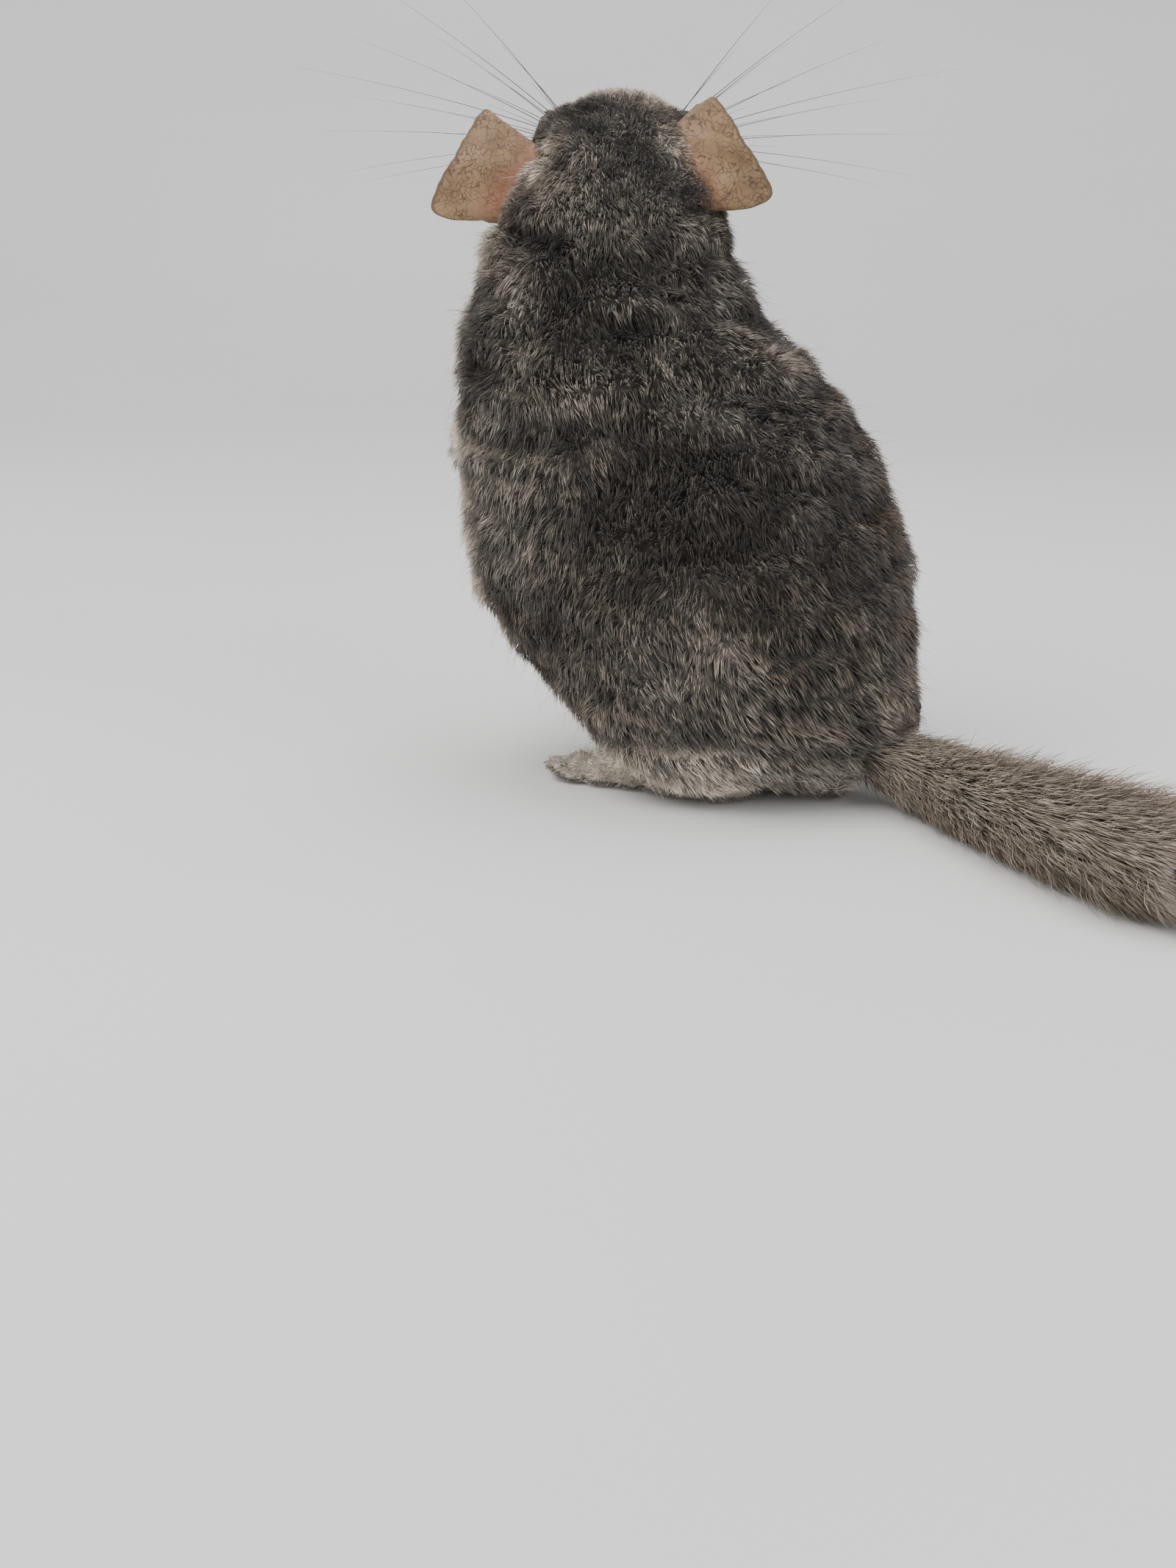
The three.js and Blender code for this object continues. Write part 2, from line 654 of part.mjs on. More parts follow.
// The tail, with rows of locks that overlap from the body to the end
const tailStart = 0.1;
let tail = tailTube(tailCore, 14, 0, 0.86);
for (let row = 0; row < LOCK_ROWS; row++)
  for (let i = 0; i < LOCKS_AROUND; i++) {
    const t = mix(tailStart, 0.84, row / (LOCK_ROWS - 1));
    const angle = ((i + (row % 2) / 2) / LOCKS_AROUND) * 2 * Math.PI;
    const nearBody = THREE.MathUtils.smoothstep(t, tailStart, 0.4);
    tail = tail.add(tailLock(t, angle, mix(0.75, 1, nearBody) * (1 + 0.08 * Math.sin(row * 2.3 + i * 4.1))));
  }
const tailRoom = tailTube((t) => tailReach(t) * 1.02 + GAP, 6, 0, 0.3);
pieces.set("tail", largest(onFloor(tail)));
torso = torso.subtract(tailRoom);

pieces.set("torso", largest(torso));
pieces.set("neck", largest(neck));
pieces.set("head", largest(skullSolid));
pieces.set("muzzle", largest(muzzle));
pieces.set("lower_jaw", largest(jaw));

// Colours and finish of each sort of piece

const coat = new THREE.MeshStandardMaterial({ color: 0x6b6159, roughness: 0.95 });
const pale = new THREE.MeshStandardMaterial({ color: 0x9a8f86, roughness: 0.95 });
const earSkin = new THREE.MeshStandardMaterial({ color: 0xb5977a, roughness: 0.7 });
const noseSkin = new THREE.MeshStandardMaterial({ color: 0xc08f86, roughness: 0.6 });
const eyeGloss = new THREE.MeshStandardMaterial({ color: 0x120806, roughness: 0.08 });
const materialOf = (name) =>
  /^eye/.test(name) ? eyeGloss
    : /^ear/.test(name) ? earSkin
      : /^nose/.test(name) ? noseSkin
        : /hand|foot|muzzle|jaw/.test(name) ? pale
          : coat;

const chinchilla = new THREE.Group();
for (const [name, body] of pieces) {
  const { positions, triangles } = closedUp(body.getMesh());
  const geometry = new THREE.BufferGeometry();
  geometry.setAttribute("position", new THREE.BufferAttribute(positions, 3));
  geometry.setIndex(new THREE.BufferAttribute(triangles, 1));
  geometry.computeVertexNormals();
  const mesh = new THREE.Mesh(geometry, materialOf(name));
  mesh.name = name;
  chinchilla.add(mesh);
}

export default chinchilla;
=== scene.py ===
# %% [markdown]
# # A chinchilla that sits up and looks over its shoulder
# The animal is one furry body with thin bare ears, dark glossy eyes, long whiskers and a bushy
# tail. The fixed frame gives solids out to the tips of the coat. Here a skin goes a coat's depth
# inside them, and thousands of small tapered tufts stand on it, because real plush fur gets its
# soft look from many fine tips that overlap, which no bump on a smooth surface can show.

# %% Load the frame
import math

import bmesh
import bpy
import numpy as np
from mathutils import Matrix, Vector, kdtree, noise


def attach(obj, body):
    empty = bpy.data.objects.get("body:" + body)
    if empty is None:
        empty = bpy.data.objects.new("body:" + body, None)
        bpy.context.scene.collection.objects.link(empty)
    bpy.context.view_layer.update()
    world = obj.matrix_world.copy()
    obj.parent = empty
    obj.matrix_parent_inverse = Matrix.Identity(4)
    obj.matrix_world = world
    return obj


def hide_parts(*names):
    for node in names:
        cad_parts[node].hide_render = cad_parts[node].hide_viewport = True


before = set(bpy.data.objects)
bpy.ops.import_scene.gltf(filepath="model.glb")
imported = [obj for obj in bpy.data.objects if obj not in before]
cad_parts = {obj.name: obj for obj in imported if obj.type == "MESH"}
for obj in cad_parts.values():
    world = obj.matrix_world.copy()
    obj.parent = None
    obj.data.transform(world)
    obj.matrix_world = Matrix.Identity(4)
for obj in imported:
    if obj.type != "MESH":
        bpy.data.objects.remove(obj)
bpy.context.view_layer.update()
MM = 0.001
SIDES = {"left": 1, "right": -1}
print("frame:", len(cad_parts), "nodes")

# %% [markdown]
# ## Directions
# The head is turned and lifted away from the hips, so every place on the face is easiest to say
# in the head's own directions: forward to the nose, left, and up to the crown. The same goes for
# the chest. Small functions turn such places into the frame's own coordinates and back.

# %% Head and chest directions
HEAD_TURN, HEAD_LIFT, CHEST_TURN = math.radians(70), math.radians(32), math.radians(30)
HEAD_CENTRE = np.array([-2, -38, 191]) * MM
CHEST_CENTRE = np.array([0, -38, 0]) * MM


def directions(turn, lift):
    ahead = np.array([-math.sin(turn), -math.cos(turn), 0.0])
    left = np.cross([0, 0, 1], ahead)
    forward = ahead * math.cos(lift) + np.array([0, 0, math.sin(lift)])
    return np.array([forward, left, np.cross(forward, left)])


HEAD = directions(HEAD_TURN, HEAD_LIFT)
CHEST = directions(CHEST_TURN, 0)


def on_head(forward, left, up):
    return HEAD_CENTRE + np.array([forward, left, up]) * MM @ HEAD


def on_chest(forward, left, up):
    return CHEST_CENTRE + np.array([forward, left, up]) * MM @ CHEST


def local_mm(points, centre, axes):
    """The way back: how far points lie forward, left and up of a centre, in millimetres."""
    return (points - centre) @ axes.T / MM


def mirrored(place, side):
    """The same place on the left for a side of 1, and on the right for -1."""
    return np.array(place) * (1, side, 1)


print("nose points along", HEAD[0].round(2))

# %% [markdown]
# ## Camera
# The photograph looks down a little on the animal's back from its left. A camera could be placed
# by eye, but straight lines and even spacings in a picture give its place, turn and lens, so
# they stand here as numbers, and the render has the photograph's own perspective.

# %% Camera
CAMERA_PLACE = np.array([717.9, 281.9, 211.6]) * MM
CAMERA_HEADING = math.radians(114.491)
CAMERA_DOWN = math.radians(15.533)
CAMERA_ROLL = math.radians(-0.291)
PHOTO_HIGH, FOCAL_PIXELS, SENSOR = 2133, 3310.25, 36

aim = np.array([
    -math.sin(CAMERA_HEADING) * math.cos(CAMERA_DOWN),
    math.cos(CAMERA_HEADING) * math.cos(CAMERA_DOWN),
    -math.sin(CAMERA_DOWN),
])
across = np.array([math.cos(CAMERA_HEADING), math.sin(CAMERA_HEADING), 0])
down = np.cross(aim, across)
turned = [
    across * math.cos(CAMERA_ROLL) + down * math.sin(CAMERA_ROLL),
    across * math.sin(CAMERA_ROLL) - down * math.cos(CAMERA_ROLL),
    -aim,
]


def new_object(name, data):
    made = bpy.data.objects.new(name, data)
    bpy.context.scene.collection.objects.link(made)
    return made


camera_data = bpy.data.cameras.new("camera")
camera_data.sensor_fit = "VERTICAL"
camera_data.sensor_height = SENSOR
camera_data.lens = FOCAL_PIXELS / PHOTO_HIGH * SENSOR
camera = new_object("camera", camera_data)
camera.matrix_world = Matrix.Translation(CAMERA_PLACE) @ Matrix(turned).transposed().to_4x4()
bpy.context.scene.camera = camera
print("lens", round(camera_data.lens, 2), "mm")

# %% [markdown]
# ## Meshes and materials
# Fur is a mesh of many thousand points. Blender's own shapes are added one call at a time, which
# is slow for that, so one helper makes an object straight from arrays of points and faces. Each
# finish is a few ramps and noises that feed one shader, and short helpers add those nodes.


# %% Making a mesh object from arrays
def add_object(name, verts, faces, material, slot=None):
    """Adds a smooth mesh object. Faces is a list of groups, each all quads or all triangles."""
    groups = [np.asarray(g, dtype=np.int32) for g in faces]
    mesh = bpy.data.meshes.new(name)
    mesh.vertices.add(len(verts))
    mesh.vertices.foreach_set("co", np.asarray(verts, dtype=np.float32).ravel())
    corners = np.concatenate([g.ravel() for g in groups])
    sizes = np.concatenate([np.full(len(g), g.shape[1]) for g in groups])
    mesh.loops.add(len(corners))
    mesh.loops.foreach_set("vertex_index", corners)
    mesh.polygons.add(len(sizes))
    mesh.polygons.foreach_set("loop_start", np.concatenate([[0], np.cumsum(sizes)[:-1]]))
    mesh.polygons.foreach_set("loop_total", sizes)
    mesh.polygons.foreach_set("use_smooth", np.ones(len(sizes), dtype=bool))
    mesh.update(calc_edges=True)
    mesh.materials.append(material)
    made = new_object(name, mesh)
    if slot:
        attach(made, "root")
    return made


# %% Materials from short lists of nodes
def new_material(name, roughness=0.8, sheen=0.0, specular=0.3):
    material = bpy.data.materials.new(name)
    material.use_nodes = True
    shader = material.node_tree.nodes["Principled BSDF"]
    shader.inputs["Roughness"].default_value = roughness
    shader.inputs["Sheen Weight"].default_value = sheen
    shader.inputs["Specular IOR Level"].default_value = specular
    return material, material.node_tree, shader


def add_node(tree, kind, links=(), **values):
    """Adds a node. Values are its settings or its inputs, and links feed its inputs."""
    made = tree.nodes.new(kind)
    for key, value in values.items():
        if hasattr(made, key):
            setattr(made, key, value)
        else:
            made.inputs[key.replace("_", " ")].default_value = value
    for socket, source in dict(links).items():
        tree.links.new(source, made.inputs[socket])
    return made


def add_ramp(tree, source, stops):
    ramp = add_node(tree, "ShaderNodeValToRGB", {"Fac": source})
    while len(ramp.color_ramp.elements) < len(stops):
        ramp.color_ramp.elements.new(0.5)
    for element, (place, colour) in zip(ramp.color_ramp.elements, stops):
        element.position = place
        element.color = (*colour, 1)
    return ramp.outputs["Color"]


def mix_colours(tree, amount, first, second, blend="MIX"):
    """Mixes two colours. Inputs 0, 6 and 7 of the node are its factor and its colours."""
    node = add_node(tree, "ShaderNodeMix", data_type="RGBA", blend_type=blend)
    for number, value in ((0, amount), (6, first), (7, second)):
        if isinstance(value, bpy.types.NodeSocket):
            tree.links.new(value, node.inputs[number])
        elif isinstance(value, (int, float)):
            node.inputs[number].default_value = value
        else:
            node.inputs[number].default_value = (*value, 1)
    return node.outputs[2]


def kept_value(tree, name):
    """Reads a weight that is kept on the mesh."""
    return add_node(tree, "ShaderNodeAttribute", attribute_name=name).outputs["Fac"]


def object_noise(tree, scale, detail=2.0, **values):
    """Noise on the piece's own coordinates. Gives the outputs of its node."""
    place = {"Vector": add_node(tree, "ShaderNodeTexCoord").outputs["Object"]}
    return add_node(tree, "ShaderNodeTexNoise", place, Scale=scale, Detail=detail, **values).outputs


def add_tint(tree, shader, stops, scale, detail=2.0):
    """Varies the colour of a bare finish by fine noise."""
    tint = add_ramp(tree, object_noise(tree, scale, detail)["Fac"], stops)
    tree.links.new(tint, shader.inputs["Base Color"])


def add_bump(tree, shader, scale, strength, distance=0.0006):
    grain = {"Height": object_noise(tree, scale, 4.0)["Fac"]}
    bump = add_node(tree, "ShaderNodeBump", grain, Strength=strength, Distance=distance)
    tree.links.new(bump.outputs["Normal"], shader.inputs["Normal"])


# %% [markdown]
# ## Floor and light
# A studio sheet runs from the floor up into the backdrop, with no edge to be seen. It could be
# two planes, but one profile with a round cove hides the corner. Wide soft lights leave no hard
# shadow, and a bright sky all round keeps the shaded side of the coat open.

# %% Floor and backdrop
FLOOR_HALF, BACKDROP_AWAY, BACKDROP_HIGH, COVE_RADIUS, COVE_STEPS = 1.8, 1.5, 1.9, 0.6, 12
FLOOR_DROP = 0.4 * MM
ROOM_TINTS = [(0.3, (0.75, 0.76, 0.76)), (0.7, (0.8, 0.81, 0.81))]
room_paint, tree, shader = new_material("room_paint", 0.9)
room_grain = add_node(tree, "ShaderNodeTexNoise", Scale=9.0, Detail=3.0)
tree.links.new(add_ramp(tree, room_grain.outputs["Fac"], ROOM_TINTS), shader.inputs["Base Color"])
away = np.array([aim[0], aim[1], 0]) / np.hypot(aim[0], aim[1])
profile = [(-FLOOR_HALF, 0.0)]
for step in range(COVE_STEPS + 1):
    angle = step / COVE_STEPS * math.pi / 2
    reach = BACKDROP_AWAY - COVE_RADIUS + COVE_RADIUS * math.sin(angle)
    profile.append((reach, COVE_RADIUS * (1 - math.cos(angle))))
profile.append((BACKDROP_AWAY, BACKDROP_HIGH))
room_points = [
    away * reach + across * side * FLOOR_HALF + np.array([0, 0, high - FLOOR_DROP])
    for side in (-1, 1) for reach, high in profile
]
rows = len(profile)
room_faces = [(i, i + 1, rows + i + 1, rows + i) for i in range(rows - 1)]
room = add_object("room", room_points, [room_faces], room_paint)
print("room:", len(room_points), "points")

# %% Lights and sky
# Each light has its place in metres behind, right of and above the animal, as the camera sees
# it, and then its width, watts and colour.
LIGHTS = {
    "key": (-0.5, -0.7, 1.25, 1.1, 17, (1.0, 0.98, 0.95)),
    "fill": (-0.9, 0.8, 0.6, 1.2, 7, (0.95, 0.97, 1.0)),
    "top": (0.3, 0.0, 1.4, 1.0, 9, (1.0, 1.0, 1.0)),
}
LIGHT_AIM = Vector((0, 0, 0.1))
SKY_COLOUR, SKY_STRENGTH = (0.9, 0.9, 0.89, 1), 0.65

for name, (ahead, aside, high, size, watts, colour) in LIGHTS.items():
    data = bpy.data.lights.new(name, "AREA")
    data.shape, data.size, data.energy, data.color = "DISK", size, watts, colour
    place = Vector(away * ahead + across * aside + np.array([0, 0, high]))
    light = new_object(name, data)
    light.location = place
    light.rotation_euler = (LIGHT_AIM - place).to_track_quat("-Z", "Y").to_euler()
world = bpy.data.worlds.new("sky")
world.use_nodes = True
sky = world.node_tree.nodes["Background"].inputs
sky["Color"].default_value = SKY_COLOUR
sky["Strength"].default_value = SKY_STRENGTH
bpy.context.scene.world = world
print("lights:", len(LIGHTS))

# %% [markdown]
# ## Markings
# The coat is grey-brown and mottled, darkest on the left of the back, browner on the right and
# low down, and pale on the belly, chin and feet and beside the ears. It could be painted on a
# map. Here a rule works each place out from its position, and the weights are kept on the mesh,
# so that skin and tufts always agree.


# %% Rules for the markings
def smooth(low, high, value):
    t = np.clip((value - low) / (high - low), 0, 1)
    return t * t * (3 - 2 * t)


def near(points, centre, inner, outer):
    """1 within the inner distance of a place and 0 past the outer one, both in millimetres."""
    return 1 - smooth(inner * MM, outer * MM, np.linalg.norm(points - centre, axis=1))


def wavy(points, size, seed):
    """A smooth random value from -1 to 1 for each point, with lumps of the given size in mm."""
    shift = Vector((seed * 7.3, seed * 3.1, seed * 5.7))
    return np.array([noise.noise(Vector(p) / (size * MM) + shift) for p in points])


EAR_TUFTS = [on_head(-10, 22.5 * side, 13) for side in SIDES.values()]
DARK_PATCH = np.array([40, 12, 100]) * MM
LIGHT_PATCHES = [(np.array([66, 8, 44]) * MM, 0.26), (np.array([26, -56, 92]) * MM, 0.24)]


def markings(points):
    """Weights from 0 to 1 for the pale, the dark and the brown parts of the coat."""
    x, y, z = (points / MM).T
    head = local_mm(points, HEAD_CENTRE, HEAD)
    chest = local_mm(points, CHEST_CENTRE, CHEST)
    face = near(points, on_head(28, 0, -8), 14, 30)
    belly = smooth(4, 30, chest[:, 0] - 0.10 * (chest[:, 2] - 90))
    belly = belly * (1 - near(points, HEAD_CENTRE, 26, 46))
    for side in SIDES.values():
        belly = belly * (1 - 0.6 * near(points, on_chest(44, 20 * side, 108), 14, 24))
    throat = smooth(-8, -22, head[:, 2] - 0.5 * head[:, 0]) * smooth(-4, 16, head[:, 0])
    throat = throat * near(points, HEAD_CENTRE, 40, 60)
    feet = 1 - smooth(12, 34, z + 10 * (y > 30))
    ears = sum(near(points, root, 4, 13) for root in EAR_TUFTS)
    flank = (1 - smooth(20, 65, z)) * 0.16
    sides = 0.35 * smooth(140, 160, z) * near(points, on_head(-18, 30, -22), 8, 24)
    crown = 0.15 * near(points, on_head(-6, 0, 20), 22, 40)
    patches = sum(amount * near(points, place, 12, 42) for place, amount in LIGHT_PATCHES)
    areas = [0.55 * face, belly, throat, feet, 0.95 * ears, flank, sides, crown, patches]
    pale = np.clip(np.maximum.reduce(areas), 0, 1)
    dark = 0.8 * near(points, DARK_PATCH, 8, 48) + 0.3 * near(points, on_head(4, 0, 22), 6, 20)
    brown = smooth(5, 45, -x + 0.7 * y)
    brown = np.maximum(brown, 0.45 * (1 - smooth(50, 140, z))) * (1 - pale)
    return {"pale": pale, "dark": np.clip(dark, 0, 1), "brown": brown}


def keep_values(mesh, values, repeat=1):
    for name, value in values.items():
        mesh.attributes.new(name, "FLOAT", "POINT").data.foreach_set(
            "value", np.repeat(value, repeat).astype(np.float32))


crown_weights = markings(on_head(0, 0, 20)[None])
print("crown:", {name: round(float(value[0]), 2) for name, value in crown_weights.items()})

# %% [markdown]
# ## Coat colour
# Each real hair is dark at its root and lighter near its tip, and together they make a soft
# mottle. It could be an image, but noise needs none and has no seams. Lumps of noise make the
# mottle, a finer noise breaks it up, and the kept weights lead to the pale, dark and brown
# stretches. Tufts also carry how far along they are, for the light at their tips.

# %% Coat colour from noise and weights
MOTTLE = [(0.35, (0.022, 0.018, 0.0145)), (0.5, (0.080, 0.066, 0.054)), (0.65, (0.28, 0.246, 0.212))]
PALE = [(0.3, (0.42, 0.355, 0.295)), (0.7, (0.88, 0.79, 0.69))]
BROWN, DARK = (0.080, 0.052, 0.034), (0.016, 0.013, 0.011)
BROWN_SHARE, DARK_SHARE, FINE_SHARE = 0.8, 0.75, 0.42


def share_of(tree, name, share):
    node = add_node(tree, "ShaderNodeMath", {0: kept_value(tree, name)}, operation="MULTIPLY")
    node.inputs[1].default_value = share
    return node.outputs[0]


def coat_colour(tree):
    lumps = object_noise(tree, 70.0, 3.0, Roughness=0.55)["Fac"]
    fine = object_noise(tree, 420.0)["Fac"]
    both = add_node(tree, "ShaderNodeMix", {2: lumps, 3: fine}, data_type="FLOAT")
    both.inputs[0].default_value = FINE_SHARE
    mottle = add_ramp(tree, both.outputs[0], MOTTLE)
    pale = add_ramp(tree, both.outputs[0], PALE)
    colour = mix_colours(tree, share_of(tree, "brown", BROWN_SHARE), mottle, BROWN)
    colour = mix_colours(tree, share_of(tree, "dark", DARK_SHARE), colour, DARK)
    return mix_colours(tree, kept_value(tree, "pale"), colour, pale)


# %% Finishes of skin and coat
UNDER_COAT, UNDER_SHARE = (0.05, 0.042, 0.037), 0.3
ALONG_TUFT = [(0.0, (0.35, 0.35, 0.35)), (0.6, (0.75, 0.75, 0.75)), (1.0, (1.75, 1.72, 1.67))]
# The kept shade is each tuft's own tone plus painted shade and painted light from crevices, folds and the
# gaps between toes, and this ramp turns it into a lightness.
TUFT_TONE_AND_SHADE = [(0.0, (0.22, 0.22, 0.22)), (0.5, (0.85, 0.85, 0.85)), (1.0, (2.7, 2.67, 2.62))]

skin_finish, tree, shader = new_material("skin_under_coat", 0.95)
colour = mix_colours(tree, UNDER_SHARE, coat_colour(tree), UNDER_COAT)
tree.links.new(colour, shader.inputs["Base Color"])
add_bump(tree, shader, 900.0, 0.6)

coat_finish, tree, shader = new_material("plush_coat", 0.75, sheen=0.25, specular=0.25)
tip_light = add_ramp(tree, kept_value(tree, "along"), ALONG_TUFT)
tuft_light = add_ramp(tree, kept_value(tree, "shade"), TUFT_TONE_AND_SHADE)
colour = mix_colours(tree, 1.0, coat_colour(tree), tip_light, "MULTIPLY")
colour = mix_colours(tree, 1.0, colour, tuft_light, "MULTIPLY")
tree.links.new(colour, shader.inputs["Base Color"])
print("finishes:", skin_finish.name, "and", coat_finish.name)

# %% [markdown]
# ## Skin
# The skin could be drawn by hand, but the solids already have the outline. Copies of the flesh
# nodes are fused by a fine voxel remesh, which closes the seams, smoothed, and drawn in by the
# coat's depth: deep on the body, shallow on the face, and almost nothing on hands and feet.
# Noise then adds the soft folds of a thick coat, and narrow dips make the mouth and the lip.

# %% Flesh solids in one mesh, with fuller whisker pads
FLESH = ["torso", "neck", "head", "muzzle", "lower_jaw"]
FLESH += [f"{part}_{name}" for part in ("haunch", "foreleg", "hand", "hind_foot") for name in SIDES]
PAD_CENTRE, PAD_HALF, PAD_FULLER = (30.5, 9.6, -8.4), (6.6, 5.2, 5.4), 1.05

gathered = bmesh.new()
for node in FLESH:
    gathered.from_mesh(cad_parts[node].data)
for side in SIDES.values():
    place = Matrix.Translation(on_head(*mirrored(PAD_CENTRE, side)))
    turn = Matrix(HEAD).transposed().to_4x4()
    size = Matrix.Diagonal((*[half * MM for half in PAD_HALF], 1))
    bmesh.ops.create_uvsphere(
        gathered, u_segments=32, v_segments=20, radius=PAD_FULLER, matrix=place @ turn @ size)
bmesh.ops.remove_doubles(gathered, verts=gathered.verts, dist=1e-6)
flesh_mesh = bpy.data.meshes.new("flesh")
gathered.to_mesh(flesh_mesh)
gathered.free()
print("flesh:", len(flesh_mesh.vertices), "points")

# %% Fuse the flesh by voxels
VOXEL = 1.3 * MM


def settled_mesh(made):
    """The mesh that an object's modifiers make. The object itself is removed."""
    graph = bpy.context.evaluated_depsgraph_get()
    mesh = bpy.data.meshes.new_from_object(made.evaluated_get(graph))
    bpy.data.objects.remove(made)
    return mesh


flesh = new_object("flesh", flesh_mesh)
remesh = flesh.modifiers.new("remesh", "REMESH")
remesh.mode, remesh.voxel_size = "VOXEL", VOXEL
fused = settled_mesh(flesh)
print("fused flesh:", len(fused.vertices), "points")

# %% Keep only the outer shell
outer = bmesh.new()
outer.from_mesh(fused)
shells, seen = [], set()
for start in outer.verts:
    if start in seen:
        continue
    seen.add(start)
    shell, waiting = [start], [start]
    while waiting:
        for edge in waiting.pop().link_edges:
            for vert in edge.verts:
                if vert not in seen:
                    seen.add(vert)
                    shell.append(vert)
                    waiting.append(vert)
    shells.append(shell)
shells.sort(key=len)
bmesh.ops.delete(outer, geom=[v for shell in shells[:-1] for v in shell], context="VERTS")
outer.to_mesh(fused)
outer.free()
print("kept one shell of", len(shells))


# %% Points, edges and faces as arrays
def read_values(items, name, width, kind=np.float64):
    """Reads one property of many mesh elements into an array with a row for each."""
    values = np.empty(len(items) * width, dtype=kind)
    items.foreach_get(name, values)
    return values.reshape(-1, width)


skin_points = read_values(fused.vertices, "co", 3)
skin_edges = read_values(fused.edges, "vertices", 2, np.int32)
skin_quads = np.array([list(p.vertices) for p in fused.polygons if len(p.vertices) == 4])
print("outer shell:", len(skin_points), "points and", len(skin_quads), "faces")


# %% Smoothing and normals on these arrays
def smoothed(points, rounds, strength=0.5):
    """Moves each point towards the middle of its neighbours. Strength is one value or one each."""
    count = np.bincount(skin_edges.ravel(), minlength=len(points))[:, None]
    for _ in range(rounds):
        total = np.zeros_like(points)
        for a, b in ((0, 1), (1, 0)):
            for axis in range(3):
                total[:, axis] += np.bincount(
                    skin_edges[:, a], points[skin_edges[:, b], axis], minlength=len(points))
        points = points + (total / np.maximum(count, 1) - points) * strength
    return points


def normals_of(points):
    a, b, c, d = (points[skin_quads[:, i]] for i in range(4))
    face = np.cross(c - a, d - b)
    total = np.zeros_like(points)
    for i in range(4):
        for axis in range(3):
            total[:, axis] += np.bincount(skin_quads[:, i], face[:, axis], minlength=len(points))
    return total / np.maximum(np.linalg.norm(total, axis=1, keepdims=True), 1e-12)


# %% Depth of the coat
BODY_COAT, HEAD_COAT, FACE_COAT, LIMB_COAT, FOOT_COAT = 6.5, 4.2, 1.5, 2.2, 0.9
FOOT_LINE = 21.5


def coat_depth(points):
    """How deep the skin lies under the coat's tips, in millimetres."""
    places = [(HEAD_CENTRE, 28, 52, HEAD_COAT), (on_head(30, 0, -6), 14, 28, FACE_COAT)]
    for side in SIDES.values():
        places.append((on_head(13.5, 21.4 * side, 4.5), 8, 15, FACE_COAT))
        places.append((on_chest(50, 17 * side, 109), 14, 24, LIMB_COAT))
        places.append((on_chest(63, 10 * side, 103), 10, 14, FOOT_COAT))
        for y in (-45, -25, -5, 12):
            places.append((np.array([FOOT_LINE * side, y, 4]) * MM, 9, 14, FOOT_COAT))
    depth = np.full(len(points), BODY_COAT)
    for centre, inner, outer, coat in places:
        depth = depth + (coat - depth) * near(points, centre, inner, outer)
    return depth


print("coat on the crown:", coat_depth(on_head(0, 0, 20)[None])[0].round(1), "mm deep")


# %% Smooth the skin and draw it in
SMOOTHING, LAST_SMOOTHING = 10, 3
softness = (0.06 + 0.44 * smooth(1.4, 4, coat_depth(skin_points)))[:, None]
skin_points = smoothed(skin_points, SMOOTHING, softness)
skin_normals = normals_of(skin_points)
if np.sum((skin_points - skin_points.mean(0)) * skin_normals) < 0:
    skin_quads = skin_quads[:, ::-1]
    skin_normals = -skin_normals
skin_points = skin_points - skin_normals * (coat_depth(skin_points) * MM)[:, None]
print("skin drawn in by up to", BODY_COAT, "mm")

# %% Folds of the coat and a soft swell on the flank
FOLD_HIGH, FOLD_SINK = 4.4, 0.8
LUMPS = ((np.array([1, 1, 1.5]), 13, 61, 1.3), (1, 6, 62, 1.1))
SWELL_PLACE, SWELL = np.array([24, -56, 88]) * MM, 6.5


def cross_folds(points):
    """Ridges above 0 and dips below 0, which run across the neck, shoulders and back."""
    strength = 0.55 + 0.45 * smooth(0.10, 0.15, points[:, 2])
    return wavy(points * np.array([0.32, 0.32, 1.3]), 8.5, 63) * strength


folds = sum(wavy(skin_points * stretch, size, seed) * high for stretch, size, seed, high in LUMPS)
folds = folds + cross_folds(skin_points) * FOLD_HIGH
swell = near(skin_points, SWELL_PLACE, 14, 62) * (1 - near(skin_points, on_chest(55, 0, 102), 26, 42))
folds = folds + SWELL * swell
body_here = smooth(2.5, 5.5, coat_depth(skin_points))
skin_points = skin_points + skin_normals * ((folds - FOLD_SINK) * body_here * MM)[:, None]
print("folds from", folds.min().round(1), "to", folds.max().round(1), "mm")

# %% Mouth and split lip
MOUTH_LEVEL, CREASE_HALF, MOUTH_DEEP, LIP_DEEP = -14.2, 0.8, 1.6, 1.0
SKIN_CLEAR = 0.2 * MM
forward, left, up = local_mm(skin_points, HEAD_CENTRE, HEAD).T
mouth = np.exp(-((up - MOUTH_LEVEL - 0.18 * (28 - forward)) / CREASE_HALF) ** 2)
mouth = mouth * smooth(20, 25, forward) * near(skin_points, on_head(30, 0, -14), 12, 15)
split = np.exp(-(left / CREASE_HALF) ** 2) * smooth(32, 36, forward) * (up < -6) * (up > -14.5)
skin_points = skin_points - skin_normals * ((MOUTH_DEEP * mouth + LIP_DEEP * split) * MM)[:, None]
skin_points = smoothed(skin_points, LAST_SMOOTHING, softness)
skin_points[:, 2] = np.maximum(skin_points[:, 2], SKIN_CLEAR)
skin_normals = normals_of(skin_points)
skin = add_object("skin", skin_points, [skin_quads], skin_finish, "coat")
keep_values(skin.data, markings(skin_points))
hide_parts(*FLESH)
print("skin:", len(skin_points), "points")

# %% [markdown]
# ## An unwrap for the coat
# A tuft is too small to be unwrapped by itself. The skin is unwrapped instead, and each tuft
# takes a tiny patch at the place of its root, so that neighbours on the body stay neighbours
# on the map.

